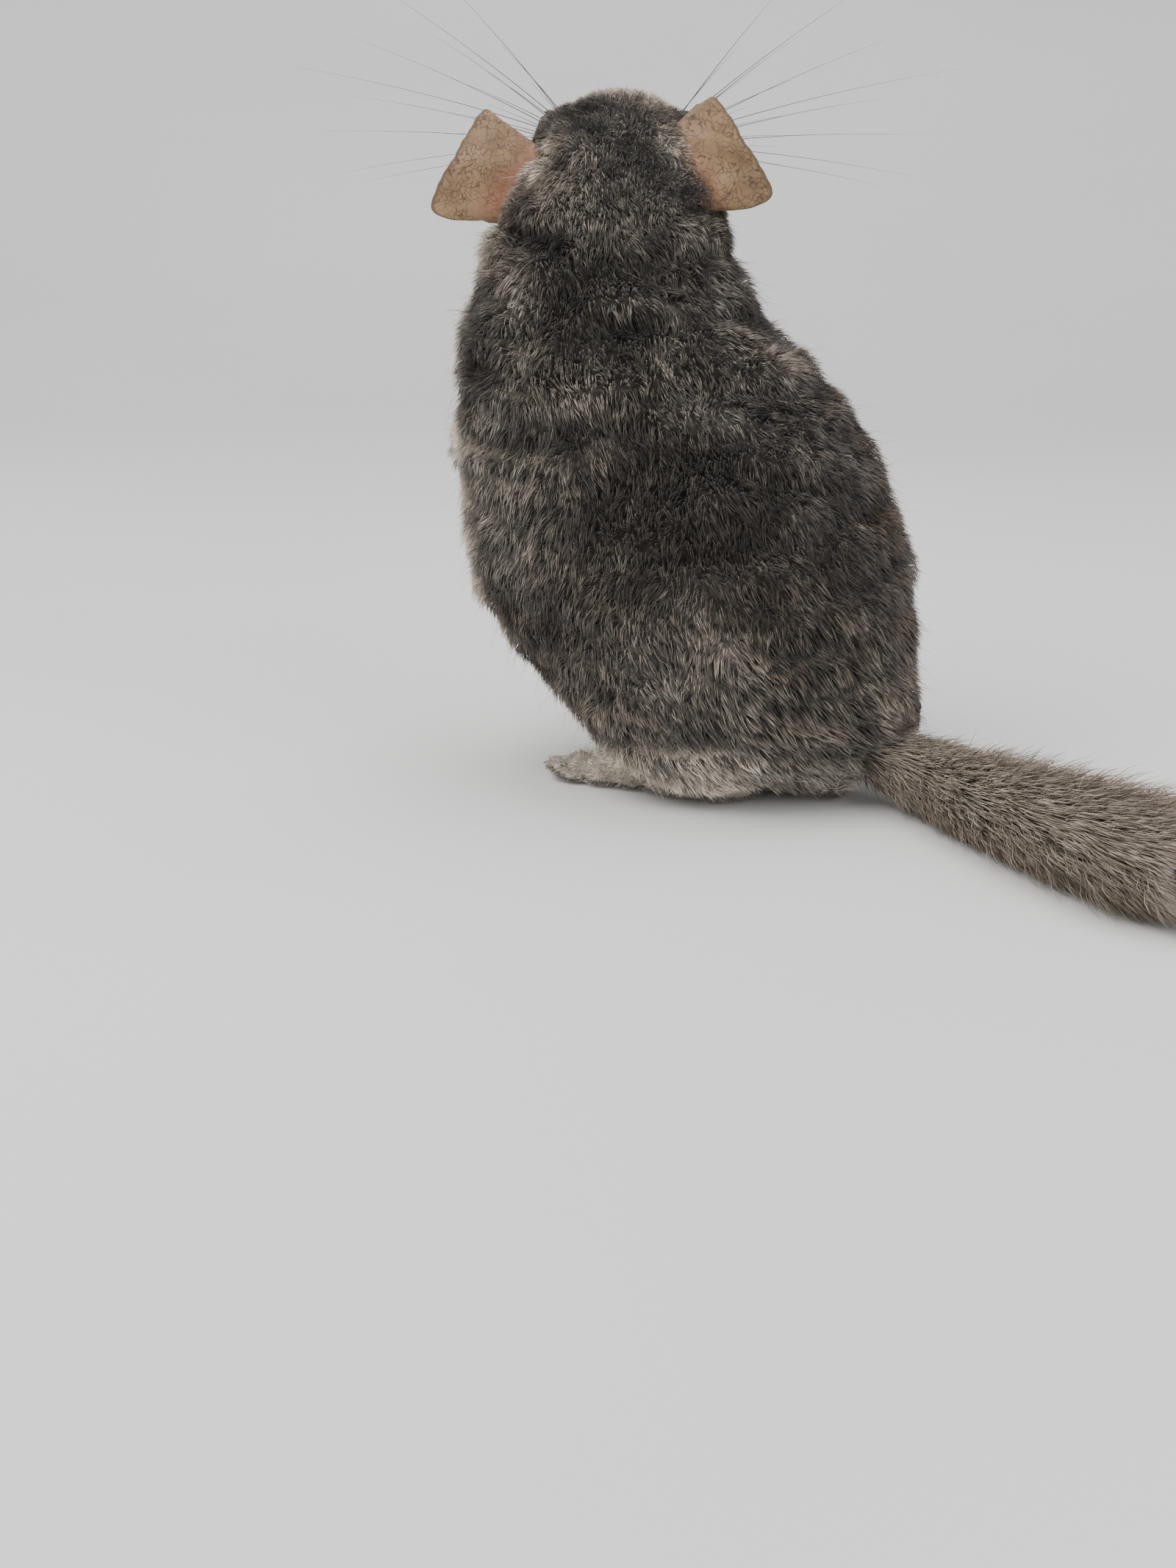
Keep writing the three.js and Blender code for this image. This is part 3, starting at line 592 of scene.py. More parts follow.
# %% Unwrap the skin
SEAM_ANGLE, ISLAND_GAP = math.radians(66), 0.002
bpy.context.view_layer.objects.active = skin
skin.select_set(True)
bpy.ops.object.mode_set(mode="EDIT")
bpy.ops.mesh.select_all(action="SELECT")
bpy.ops.uv.smart_project(angle_limit=SEAM_ANGLE, island_margin=ISLAND_GAP)
bpy.ops.object.mode_set(mode="OBJECT")
skin.select_set(False)
skin_uv = read_values(skin.data.uv_layers.active.data, "uv", 2, np.float32).reshape(-1, 4, 2)
print("unwrap:", len(skin_uv), "faces")

# %% [markdown]
# ## Lie of the coat
# Hair points back from the nose over the head, then down the back and the sides, and along each
# limb to its foot. It could be combed by hand, but one rule gives that direction anywhere on the
# skin. Gentle noise bends it, and neighbouring tips lean together, as plush parts into clumps.


# %% The rule for the lie
def unit(v):
    return v / np.maximum(np.linalg.norm(v, axis=1, keepdims=True), 1e-9)


def lie_at(points, normals):
    lie = np.tile([0.0, 0.30, -1.0], (len(points), 1))
    low = 1 - smooth(20, 70, points[:, 2] / MM)
    lie[:, 1] += 0.9 * low
    head = near(points, HEAD_CENTRE, 24, 50)[:, None]
    lie = lie * (1 - head) - HEAD[0] * head
    for side in SIDES.values():
        arm = near(points, on_chest(55, 15 * side, 106), 14, 22)[:, None]
        lie = lie * (1 - arm) + (CHEST[0] * 0.8 + np.array([0, 0, -0.4])) * arm
        for y in (-40, -20, 0):
            foot = near(points, np.array([FOOT_LINE * side, y, 5]) * MM, 10, 15)[:, None]
            lie = lie * (1 - foot) + np.array([0, -1.0, -0.1]) * foot
    lie += 0.55 * np.stack([wavy(points, 14, seed) for seed in (1, 2, 3)], axis=1)
    lie += 0.45 * np.stack([wavy(points, 4.5, seed) for seed in (4, 5, 6)], axis=1)
    lie -= normals * np.sum(lie * normals, axis=1, keepdims=True)
    return unit(lie)


back_lie = lie_at(np.array([[0, 50.0, 90]]) * MM, np.array([[0, 1.0, 0]]))
print("hair on the back lies along", back_lie[0].round(2))

# %% [markdown]
# ## Tufts
# A real chinchilla grows dozens of fine hairs from each root, which makes the coat plush. Hair
# curves would draw them one by one, but the export keeps only meshes. So each bundle is a
# slender three-sided cone that bends at every step of its spine, and a layer of them is one mesh.


# %% Roots spread over the skin
def spread_roots(count, weight, rng):
    """Picks roots on the skin, more where the weight of a face is higher."""
    a, b, c, d = (skin_points[skin_quads[:, i]] for i in range(4))
    area = np.linalg.norm(np.cross(c - a, d - b), axis=1) / 2
    chance = area * weight
    face = rng.choice(len(skin_quads), size=count, p=chance / chance.sum())
    u, v = rng.random(count)[:, None], rng.random(count)[:, None]
    shares = [(1 - u) * (1 - v), u * (1 - v), u * v, (1 - u) * v]
    roots = sum(s * skin_points[skin_quads[face, i]] for i, s in enumerate(shares))
    normals = unit(sum(s * skin_normals[skin_quads[face, i]] for i, s in enumerate(shares)))
    places = sum(s * skin_uv[face, i] for i, s in enumerate(shares))
    return roots, normals, places


# %% Tufts as one mesh
PATCH = 0.0015
RING = np.radians([90, 210, 330])
TUFT_FLAT = 0.7


def add_tufts(name, spine, side, widths, places, values, material, slot):
    """Joins tapered three-sided tufts. The spine has the points of each tuft, root to tip."""
    count, steps = spine.shape[:2]
    verts = np.empty((count, (steps - 1) * 3 + 1, 3), dtype=np.float32)
    corner_uv = np.empty((count, (steps - 1) * 3 + 1, 2), dtype=np.float32)
    for s in range(steps - 1):
        ahead = unit(spine[:, s + 1] - spine[:, s])
        lift = np.cross(ahead, side)
        for r, angle in enumerate(RING):
            offset = side * math.cos(angle) + lift * math.sin(angle) * TUFT_FLAT
            verts[:, s * 3 + r] = spine[:, s] + offset * widths[s][:, None]
            shift = [PATCH * math.cos(angle), PATCH * (2 * s / (steps - 1) - 1)]
            corner_uv[:, s * 3 + r] = places + np.array(shift, dtype=np.float32)
    verts[:, -1] = spine[:, -1]
    corner_uv[:, -1] = places + np.array([0, PATCH], dtype=np.float32)
    per = verts.shape[1]
    quads = [
        (s * 3 + r, s * 3 + (r + 1) % 3, s * 3 + 3 + (r + 1) % 3, s * 3 + 3 + r)
        for s in range(steps - 2) for r in range(3)
    ]
    last = (steps - 2) * 3
    tips = [(last + r, last + (r + 1) % 3, per - 1) for r in range(3)]
    base = (np.arange(count) * per)[:, None, None]
    faces = [(np.array(group)[None] + base).reshape(-1, len(group[0])) for group in (quads, tips)]
    made = add_object(name, verts.reshape(-1, 3), faces, material, slot)
    corners = np.concatenate([f.ravel() for f in faces])
    layer = made.data.uv_layers.new(name="OFBake")
    layer.data.foreach_set("uv", corner_uv.reshape(-1, 2)[corners].ravel())
    keep_values(made.data, values, per)
    along = np.tile(np.append(np.repeat(np.arange(steps - 1), 3), steps - 1) / (steps - 1), count)
    keep_values(made.data, {"along": along})
    return made


# %% Painted shade along the gaps between fingers and toes
HAND_LINE, FINGER_GAPS, TOE_GAPS = 8.7, (-2.65, 0, 2.65), (-3.6, 1.3, 5.4)
TOES_HIGH = 8


def digit_gap_shade(points):
    """1 along the gaps between fingers or toes, where shade is painted on the coat, and 0 away from them.
    """
    across_hand = (points - CHEST_CENTRE) @ CHEST[1] / MM
    x, y, z = (points / MM).T
    total = np.zeros(len(points))
    for side in SIDES.values():
        hand = near(points, on_chest(68.5, 9 * side, 98), 5, 8)
        foot = smooth(36, 42, -y) * (z < TOES_HIGH)
        for gap in FINGER_GAPS:
            total += hand * np.exp(-((across_hand - side * HAND_LINE - gap) / 0.5) ** 2)
        for gap in TOE_GAPS:
            total += foot * np.exp(-((x - side * (FOOT_LINE + gap)) / 0.6) ** 2)
    return total


# %% Roots of the coat
COAT_TUFTS, LAYERS = (144000), 8
EYE_OPENING, EYE_CLEAR = (15.5, 22.6, 5.0), (5.7, 5.8)
NOSE_OPENING, NOSE_CLEAR = (40.6, 0, -4.2), (4.2, 4.4)
rng = np.random.default_rng(11)
quad_middle = skin_points[skin_quads].mean(axis=1)
density = 1 + 1.4 * near(quad_middle, HEAD_CENTRE, 34, 50)
density = density + 2.0 * near(quad_middle, on_head(26, 0, -4), 18, 28)
density = density * (1 + 0.8 * (coat_depth(quad_middle) < 1.2))
density = density * (1 - 0.75 * (quad_middle[:, 2] < 1.5 * MM))
roots, normals, places = spread_roots(COAT_TUFTS, density, rng)
clear = near(roots, on_head(*NOSE_OPENING), *NOSE_CLEAR) < 0.5
for side in SIDES.values():
    clear &= near(roots, on_head(*mirrored(EYE_OPENING, side)), *EYE_CLEAR) < 0.5
roots, normals, places = roots[clear], normals[clear], places[clear]
lie = lie_at(roots, normals)
depth = coat_depth(roots) * MM
print("roots clear of eyes and nose:", len(roots))

# %% Shape of each tuft
SHORT_HAIR, SHORT_COAT = 1.1 * MM, 2.5 * MM
THIN_TUFT, THICK_TUFT, ROOT_SUNK = 0.10 * MM, 0.22 * MM, 0.5 * MM
TIP_CLEAR, FLOOR_CLEAR = 0.3 * MM, 0.4 * MM
ROOT_STEEPER, TIP_FLATTER, BEND_PLACE = 0.25, 0.1, 0.55


def rising(lie, normals, angle):
    """Directions that rise from the skin by an angle, towards the lie of the hair."""
    return lie * np.cos(angle) + normals * np.sin(angle)


def keep_above_floor(points, clear=FLOOR_CLEAR):
    points[:, 2] = np.maximum(points[:, 2], clear)


length = depth * rng.uniform(0.85, 1.2, len(roots)) * (1 + 0.3 * near(roots, HEAD_CENTRE, 30, 50))
length = (length + SHORT_HAIR * (depth < SHORT_COAT))[:, None]
stand = np.radians(rng.uniform(50, 80, len(roots)))[:, None]
middle = roots + rising(lie, normals, stand + ROOT_STEEPER) * length * BEND_PLACE
tip = roots + rising(lie, normals, stand - TIP_FLATTER) * length
print("tufts from", (length.min() / MM).round(1), "to", (length.max() / MM).round(1), "mm long")

# %% Tips drawn together in clumps
CLUMPS, CLUMP_PULL, CLUMP_COAT = 9000, 0.45, 3 * MM
clump_roots = kdtree.KDTree(CLUMPS)
for i in range(CLUMPS):
    clump_roots.insert(roots[i], i)
clump_roots.balance()
clump = np.array([clump_roots.find(p)[1] for p in roots])
pull = (CLUMP_PULL * rng.uniform(0.3, 1.0, len(roots)) * (depth > CLUMP_COAT))[:, None]
tip = tip + (tip[clump] - tip) * pull
keep_above_floor(tip, TIP_CLEAR)
keep_above_floor(middle)
print("clumps:", len(np.unique(clump)))

# %% Coat in layers
FOLD_SHADE, GAP_SHADE = 0.75, 0.6
spine = np.stack([roots - normals * ROOT_SUNK, middle, tip], axis=1)
side_way = unit(np.cross(lie, normals))
width = np.clip(depth * 0.036, THIN_TUFT, THICK_TUFT) * rng.uniform(0.7, 1.2, len(roots))
values = markings(roots)
# Painted shade darkens the tufts in crevices of noise between clumps, in the dips of the cross folds and
# along the gaps between fingers and toes. Painted light lightens them on the fold ridges. The random part
# is each tuft's own tone.
painted_light_and_shade = 0.42 * wavy(roots * np.array([1, 1, 1.5]), 3.0, 5) + 0.24 * wavy(roots, 7, 6)
painted_light_and_shade = painted_light_and_shade + FOLD_SHADE * cross_folds(roots) - GAP_SHADE * digit_gap_shade(roots)
values["shade"] = np.clip(rng.normal(0.5, 0.2, len(roots)) + painted_light_and_shade, 0, 1)
for layer in range(LAYERS):
    pick = np.arange(layer, len(roots), LAYERS)
    add_tufts(
        f"coat_{layer + 1}", spine[pick], side_way[pick], [width[pick], width[pick] * 0.8], places[pick],
        {name: value[pick] for name, value in values.items()}, coat_finish, "coat")
print("coat:", len(roots), "tufts in", LAYERS, "layers")

# %% [markdown]
# ## Guard hairs
# A few longer, straighter hairs stand past the plush and soften the animal's outline. They could
# be one more layer of the coat, but they are finer and less orderly, so they have their own
# rule and are a piece of their own, on roots that the coat already has.

# %% Stray guard hairs
GUARD_HAIRS, GUARD_THICK, GUARD_COAT = 3000, 0.09 * MM, 3.5 * MM
rng = np.random.default_rng(17)
guard = rng.choice(np.nonzero(depth > GUARD_COAT)[0], size=GUARD_HAIRS, replace=False)
loose = unit(lie[guard] + 0.35 * rng.normal(size=(GUARD_HAIRS, 3)))
steep = np.radians(rng.uniform(38, 70, GUARD_HAIRS))[:, None]
reach = (depth[guard] * rng.uniform(1.5, 2.2, GUARD_HAIRS))[:, None]
guard_middle = roots[guard] + rising(loose, normals[guard], steep + 0.2) * reach * 0.5
guard_tip = roots[guard] + rising(loose, normals[guard], steep - 0.15) * reach
for points in (guard_middle, guard_tip):
    keep_above_floor(points)
fine = np.full(GUARD_HAIRS, GUARD_THICK)
guard_values = {name: value[guard] for name, value in values.items()}
guard_values["shade"] = rng.uniform(0.3, 1.0, GUARD_HAIRS)
add_tufts(
    "guard_hairs", np.stack([roots[guard], guard_middle, guard_tip], axis=1), side_way[guard],
    [fine, fine * 0.8], places[guard], guard_values, coat_finish, "coat")
print("guard hairs:", GUARD_HAIRS)

# %% [markdown]
# ## Claws
# Chinchillas have small blunt claws half hidden by bristles. Each could be a bent cone of its
# own, but a claw is only a shorter, thicker tuft that curves down from the end of a toe or
# finger, so all of them are made as the tufts are, as one piece, and pale brown.

# %% Finish of the claws
claw_finish, tree, shader = new_material("claw", 0.4, specular=0.5)
add_tint(tree, shader, [(0.3, (0.16, 0.11, 0.08)), (0.7, (0.30, 0.22, 0.17))], 1200.0)
print("finish:", claw_finish.name)

# %% Claws at the ends of toes and fingers
TOES, FINGERS, FINGER_LINE = (-6, -1.2, 3.8, 7), (-4, -1.3, 1.3, 4), 8.5
TOE_CLAW, FINGER_CLAW, CLAW_THICK = 3.2, 3.2 * 0.6, 0.7
TOE_SUNK, FINGER_SUNK, TOES_FROM = 0.8, 0.6, -30


def end_of(points, ahead, across, line):
    """The point that lies furthest ahead, less twice its distance from a line in millimetres."""
    return points[np.argmax(points @ ahead - 2 * np.abs(points @ across - line * MM))]


claw_spines = []
ahead, across_toes = np.array([0, -1.0, 0]), np.array([1.0, 0, 0])
for side in SIDES.values():
    foot = skin_points[(skin_points[:, 2] < TOES_HIGH * MM) & (skin_points[:, 1] < TOES_FROM * MM)]
    for outward in TOES:
        base = end_of(foot, ahead, across_toes, side * (FOOT_LINE + outward)) - ahead * TOE_SUNK * MM
        steps = np.outer([0, 0.55, 1], ahead) + np.outer([0, -0.05, -0.45], [0, 0, 1])
        claw_spines.append(base + steps * TOE_CLAW * MM)
    hand = skin_points[near(skin_points, on_chest(68, side * 9, 98), 12, 12.1) > 0.5]
    drop = np.array([0, 0, -1.0]) + CHEST[0] * 0.3
    for outward in FINGERS:
        line = side * FINGER_LINE + outward + CHEST_CENTRE @ CHEST[1] / MM
        base = end_of(hand, drop, CHEST[1], line) - drop * FINGER_SUNK * MM
        steps = np.outer([0, 0.55, 1], drop) + np.outer([0, 0.1, 0], CHEST[0])
        claw_spines.append(base + steps * FINGER_CLAW * MM)
claw_spines = np.array(claw_spines)
claw_side = unit(np.cross(claw_spines[:, 1] - claw_spines[:, 0], [0, 0, 1]))
claw_thick = np.tile(np.repeat([CLAW_THICK, CLAW_THICK * 0.6], len(TOES)), len(SIDES)) * MM
claw_places = np.stack([np.linspace(0.1, 0.9, len(claw_spines)), np.full(len(claw_spines), 0.5)], axis=1)
add_tufts(
    "claws", claw_spines, claw_side, [claw_thick, claw_thick * 0.75], claw_places.astype(np.float32),
    {}, claw_finish, "whisker")
print("claws:", len(claw_spines))

# %% [markdown]
# ## Tail
# The tail is long bristly hair on a thin core, shortest at the base and fullest towards the end.
# A thick tube with a bump would have a smooth outline, so the hair is made as tufts. They stand
# out and back on all sides of a core that follows the same curve as the solid tail.

# %% Tail curve
TAIL_PATH = np.array([
    [-3, 50, 15], [10, 74, 12.5], [29, 97, 13], [50, 122, 14.5], [72, 150, 16], [90, 174, 17]]) * MM


def tail_at(t):
    """Points and directions on a smooth curve through the path, for t from 0 to 1."""
    ends = np.vstack([2 * TAIL_PATH[0] - TAIL_PATH[1], TAIL_PATH, 2 * TAIL_PATH[-1] - TAIL_PATH[-2]])
    spot = np.clip(t, 0, 0.9999) * (len(TAIL_PATH) - 1)
    i = spot.astype(int)
    f = (spot - i)[:, None]
    a, b, c, d = (ends[i + k] for k in range(4))
    square, cube = 2 * a - 5 * b + 4 * c - d, 3 * b - a - 3 * c + d
    point = 0.5 * (2 * b + (c - a) * f + square * f**2 + cube * f**3)
    slope = 0.5 * ((c - a) + 2 * square * f + 3 * cube * f**2)
    return point, unit(slope)


def across_tail(t):
    """Points on the tail's curve, with its directions along, sideways and upward."""
    point, slope = tail_at(t)
    sideways = unit(np.cross(slope, [0, 0, 1]))
    return point, slope, sideways, np.cross(sideways, slope)


print("tail ends at", (tail_at(np.array([1.0]))[0][0] / MM).round(), "mm")

# %% Tail core
TAIL_CORE = 5.5 * MM
TAIL_END, CORE_CLOSE = 0.93, 0.935
STATIONS, AROUND = 60, 20


def ring_faces(rings, around):
    """Quads between rings of points, and triangles to one last point at each end."""
    first = np.arange(rings * around).reshape(rings, around)
    after = np.roll(first, -1, axis=1)
    quads = np.stack([first[:-1], first[1:], after[1:], after[:-1]], axis=-1).reshape(-1, 4)
    near_cap = np.stack([np.full(around, first.size), first[0], after[0]], axis=1)
    far_cap = np.stack([np.full(around, first.size + 1), after[-1], first[-1]], axis=1)
    return [quads, np.concatenate([near_cap, far_cap])]


t = np.linspace(0, TAIL_END, STATIONS)
centres, slopes, sideways, upward = across_tail(t)
angles = np.arange(AROUND) / AROUND * 2 * math.pi
radius = TAIL_CORE * np.sqrt(np.clip(1.0 - t / CORE_CLOSE, 0.02, 1)) * 0.6 + TAIL_CORE * 0.4
rings = [
    centres[s] + radius[s] * (np.outer(np.cos(angles), sideways[s]) + np.outer(np.sin(angles), upward[s]))
    for s in range(STATIONS)
]
core_points = np.vstack(rings + [centres[:1], centres[-1:]])
core = add_object("tail_core", core_points, ring_faces(STATIONS, AROUND), skin_finish, "pale_coat")
keep_values(core.data, markings(core_points))
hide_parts("tail")
print("tail core:", len(core_points), "points")

# %% Finish of the tail's hair
TAIL_TINTS = [
    (0.0, (0.12, 0.093, 0.075)), (0.35, (0.29, 0.235, 0.19)),
    (0.7, (0.48, 0.41, 0.34)), (1.0, (0.78, 0.69, 0.60))]
ALONG_HAIR = [(0.0, (0.7, 0.7, 0.7)), (0.6, (1, 1, 1)), (1.0, (1.25, 1.22, 1.18))]
tail_finish, tree, shader = new_material("tail_hair", 0.8, sheen=0.2, specular=0.25)
tail_tint = add_ramp(tree, kept_value(tree, "shade"), TAIL_TINTS)
tail_light = add_ramp(tree, kept_value(tree, "along"), ALONG_HAIR)
tree.links.new(mix_colours(tree, 1.0, tail_tint, tail_light, "MULTIPLY"), shader.inputs["Base Color"])
print("finish:", tail_finish.name)

# %% Tail hair
TAIL_TUFTS, TAIL_LAYERS = (22000), 2
TAIL_REACH, TAIL_THICK = (10.5, 17.5), (0.13 * MM, 0.24 * MM)
TAIL_STAND, REACH_STAND, ROOT_OUT = 25, math.radians(28), 0.75
TAIL_PARTS = ((0.3, 0.5, 0.4), (0.0, 1.0, 0.32), (-0.25, 1.5, 0.28))
rng = np.random.default_rng(23)
t = rng.random(TAIL_TUFTS) ** 0.85 * TAIL_END
angle = rng.random(TAIL_TUFTS) * 2 * math.pi
centre, slope, sideways, upward = across_tail(t)
out = sideways * np.cos(angle)[:, None] + upward * np.sin(angle)[:, None]
root = centre + out * TAIL_CORE * ROOT_OUT
high = TAIL_REACH[0] + (TAIL_REACH[1] - TAIL_REACH[0]) * np.minimum(1, t * 1.5)
high = high * MM - TAIL_CORE * ROOT_OUT
stand = np.radians(TAIL_STAND + rng.normal(0, 7, TAIL_TUFTS))[:, None]
long = (high / math.sin(REACH_STAND) * rng.uniform(0.7, 1.1, TAIL_TUFTS))[:, None]
long = long * (1 - 0.25 * smooth(0.72, TAIL_END, t))[:, None]
wave = np.stack([wavy(root, 9, seed) for seed in (31, 32, 33)], axis=1) * 0.12
tail_points = [root]
for bend, waviness, share in TAIL_PARTS:
    ahead = rising(slope, out, stand + bend) + wave * waviness
    tail_points.append(tail_points[-1] + ahead * long * share)
for points in tail_points[1:]:
    keep_above_floor(points)
tail_spine = np.stack(tail_points, axis=1)
thick = rng.uniform(*TAIL_THICK, TAIL_TUFTS)
tail_places = np.stack([t, angle / (2 * math.pi)], axis=1).astype(np.float32)
tail_shade = np.clip(rng.normal(0.52, 0.2, TAIL_TUFTS) + 0.2 * wavy(root, 6, 8), 0, 1)
for layer in range(TAIL_LAYERS):
    pick = np.arange(layer, TAIL_TUFTS, TAIL_LAYERS)
    add_tufts(
        f"tail_hair_{layer + 1}", tail_spine[pick], unit(np.cross(slope, out))[pick],
        [thick[pick], thick[pick] * 0.9, thick[pick] * 0.6], tail_places[pick],
        {"shade": tail_shade[pick]}, tail_finish, "pale_coat")
print("tail:", TAIL_TUFTS, "tufts")

# %% [markdown]
# ## Ears
# Each ear is a thin, nearly bare, cupped fan of skin. It could be modelled by hand, but a rule
# gives any point of the sheet from two numbers, how far out it is and how far round, so a fine
# grid of them makes both faces and the rim. The skin is tan with fine dark creases, a rim a
# little darker, and redder near the root.

# %% Finish of the ears
EAR_TINTS = [(0.3, (0.15, 0.088, 0.042)), (0.52, (0.25, 0.155, 0.082)), (0.75, (0.33, 0.215, 0.125))]
EAR_CREASE, EAR_RED, EAR_RIM = (0.065, 0.038, 0.025), (0.33, 0.11, 0.07), (0.12, 0.075, 0.045)
CREASE_EDGE = [(0.0, (1, 1, 1)), (0.04, (0.6, 0.6, 0.6)), (0.09, (0, 0, 0))]
CREASE_AREAS = [(0.30, (0, 0, 0)), (0.44, (0.95, 0.95, 0.95))]

ear_finish, tree, shader = new_material("ear_skin", 0.55, sheen=0.15, specular=0.3)
place = add_node(tree, "ShaderNodeTexCoord").outputs["Object"]
skin_tone = add_ramp(tree, object_noise(tree, 95.0, 4.0)["Fac"], EAR_TINTS)
bend = object_noise(tree, 130.0)
bent = add_node(tree, "ShaderNodeVectorMath", {0: bend["Color"]}, operation="SCALE", Scale=0.013)
moved = add_node(tree, "ShaderNodeVectorMath", {0: place, 1: bent.outputs["Vector"]}, operation="ADD")
crease = add_node(
    tree, "ShaderNodeTexVoronoi", {"Vector": moved.outputs["Vector"]}, feature="DISTANCE_TO_EDGE",
    Scale=430.0)
line = add_ramp(tree, crease.outputs["Distance"], CREASE_EDGE)
line_here = mix_colours(tree, 1.0, line, add_ramp(tree, bend["Fac"], CREASE_AREAS), "MULTIPLY")
line_value = add_node(tree, "ShaderNodeRGBToBW", {"Color": line_here}).outputs["Val"]
colour = mix_colours(tree, line_value, skin_tone, EAR_CREASE)
colour = mix_colours(tree, kept_value(tree, "inward"), colour, EAR_RED)
colour = mix_colours(tree, kept_value(tree, "rim"), colour, EAR_RIM)
tree.links.new(colour, shader.inputs["Base Color"])
shader.inputs["Subsurface Weight"].default_value = 0.15
shader.inputs["Subsurface Radius"].default_value = (0.004, 0.0015, 0.0008)
add_bump(tree, shader, 700.0, 0.5, 0.0003)
print("finish:", ear_finish.name)

# %% The sheet of an ear
EAR_REACH, EAR_BASE, EAR_THICK, EAR_CUP = 28.5, 12, 1.0, 6
EAR_ROOT, EAR_SHIFT = (-12, 25.5, 3.8), {1: (4.5, 0.5), -1: (-3.5, 3.0)}
EAR_FORWARD, EAR_UP, EAR_SWEEP = 0.74, 0.67, math.radians(14)
EAR_START, EAR_SPAN, EAR_TURN = -50, 122, {1: 4, -1: 8}
EAR_INNER, EAR_HOLLOW, LOWER_CUT, UPPER_CUT = -7, 0.23, 0.5, {1: 0.24, -1: 0.16}


def ear_point(side, t, v):
    """A place on the middle of the sheet, and the way it faces. Both inputs are arrays."""
    rise = unit((HEAD[0] * EAR_FORWARD + HEAD[2] * EAR_UP)[None])[0]
    back = HEAD[0] * EAR_UP - HEAD[2] * EAR_FORWARD
    out = HEAD[1] * side * math.cos(EAR_SWEEP) + back * math.sin(EAR_SWEEP)
    face = np.cross(rise, out) * side
    s = (v + 1) / 2
    angle = np.radians(EAR_START + EAR_SPAN * s + EAR_TURN[side])
    hollow = EAR_HOLLOW * np.sin(math.pi * np.clip((s - 0.28) / 0.66, 0, 1))
    lower, upper = LOWER_CUT * (1 - smooth(0, 0.3, s)), UPPER_CUT[side] * smooth(0.9, 1, s)
    ragged = 0.005 * np.sin(s * 29 + side) + 0.004 * np.sin(s * 83)
    reach = EAR_REACH * (1 - hollow - lower - upper + ragged)
    far = EAR_INNER + (reach * np.cos(angle) - EAR_INNER) * t
    high = v * EAR_BASE + (reach * np.sin(angle) - v * EAR_BASE) * t
    cup = EAR_CUP * ((1 - v * v) * (0.4 + 0.6 * t) - 0.5)
    shift = (EAR_SHIFT[side][0] * out + EAR_SHIFT[side][1] * rise) * MM
    start = on_head(*mirrored(EAR_ROOT, side)) + shift
    return start + (far[:, None] * out + high[:, None] * rise + cup[:, None] * face) * MM, face


for name, side in SIDES.items():
    farthest = ear_point(side, np.array([1.0]), np.array([0.0]))[0][0]
    print("middle of the rim,", name, "ear:", (farthest / MM).round(), "mm")


# %% Ears
EAR_ROWS, EAR_COLUMNS = 44, 64

for name, side in SIDES.items():
    t, v = np.meshgrid(np.linspace(0, 1, EAR_ROWS), np.linspace(-1, 1, EAR_COLUMNS), indexing="ij")
    t, v = t.ravel(), v.ravel()
    middle, face = ear_point(side, t, v)
    wrinkle = 0.35 * MM * wavy(middle, 5, 41 + side)[:, None] * face
    thick = EAR_THICK * MM * (0.5 - 0.28 * smooth(0.7, 1, t))[:, None] * face
    sheet = np.vstack([middle + wrinkle + thick, middle + wrinkle - thick])
    half = len(middle)
    grid = np.arange(half).reshape(EAR_ROWS, EAR_COLUMNS)
    quads = np.stack([grid[:-1, :-1], grid[1:, :-1], grid[1:, 1:], grid[:-1, 1:]], axis=-1).reshape(-1, 4)
    border = np.concatenate([grid[0, :], grid[1:, -1], grid[-1, -2::-1], grid[-2:0:-1, 0]])
    following = np.roll(border, -1)
    edge = np.stack([border, following, following + half, border + half], axis=1)
    faces = [quads, quads[:, ::-1] + half, edge]
    ear = add_object(f"ear_{name}_skin", sheet, faces, ear_finish, "ear_skin")
    shape = bmesh.new()
    shape.from_mesh(ear.data)
    bmesh.ops.recalc_face_normals(shape, faces=shape.faces)
    shape.to_mesh(ear.data)
    shape.free()
    redder = 0.42 * (1 - smooth(0.2, 0.6, t + 0.25 * v + 0.05 * wavy(middle, 6, 44)))
    rim = 0.9 * smooth(0.95, 0.985, t) + 0.6 * smooth(0.94, 0.99, np.abs(v))
    keep_values(ear.data, {"inward": np.tile(redder, 2), "rim": np.tile(rim, 2)})
    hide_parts(f"ear_{name}")
    print(ear.name, len(sheet), "points")

# %% [markdown]
# ## Eyes and lids
# A chinchilla's eyes are large, nearly black and very glossy, set deep between soft lids. A plain
# dark ball would look dull, so a fine ball has a clear coat over its colour, and it takes the
# solid eye's place. A lid is a ring of bare skin that follows the ball. It stands up round the
# opening and sinks under the coat at its outer edge.

# %% Finishes of eyes and lids
EYE_TINTS = [(0.35, (0.006, 0.003, 0.002)), (0.8, (0.03, 0.010, 0.006))]
LID_TINTS = [(0.3, (0.03, 0.022, 0.02)), (0.7, (0.09, 0.065, 0.055))]
eye_finish, tree, shader = new_material("eye_gloss", 0.06, specular=0.6)
shader.inputs["Coat Weight"].default_value = 1.0
shader.inputs["Coat Roughness"].default_value = 0.03
add_tint(tree, shader, EYE_TINTS, 600.0, 3.0)
lid_finish, tree, shader = new_material("lid_skin", 0.5)
add_tint(tree, shader, LID_TINTS, 900.0, 3.0)
add_bump(tree, shader, 1500.0, 0.5, 0.0002)
print("finishes:", eye_finish.name, "and", lid_finish.name)


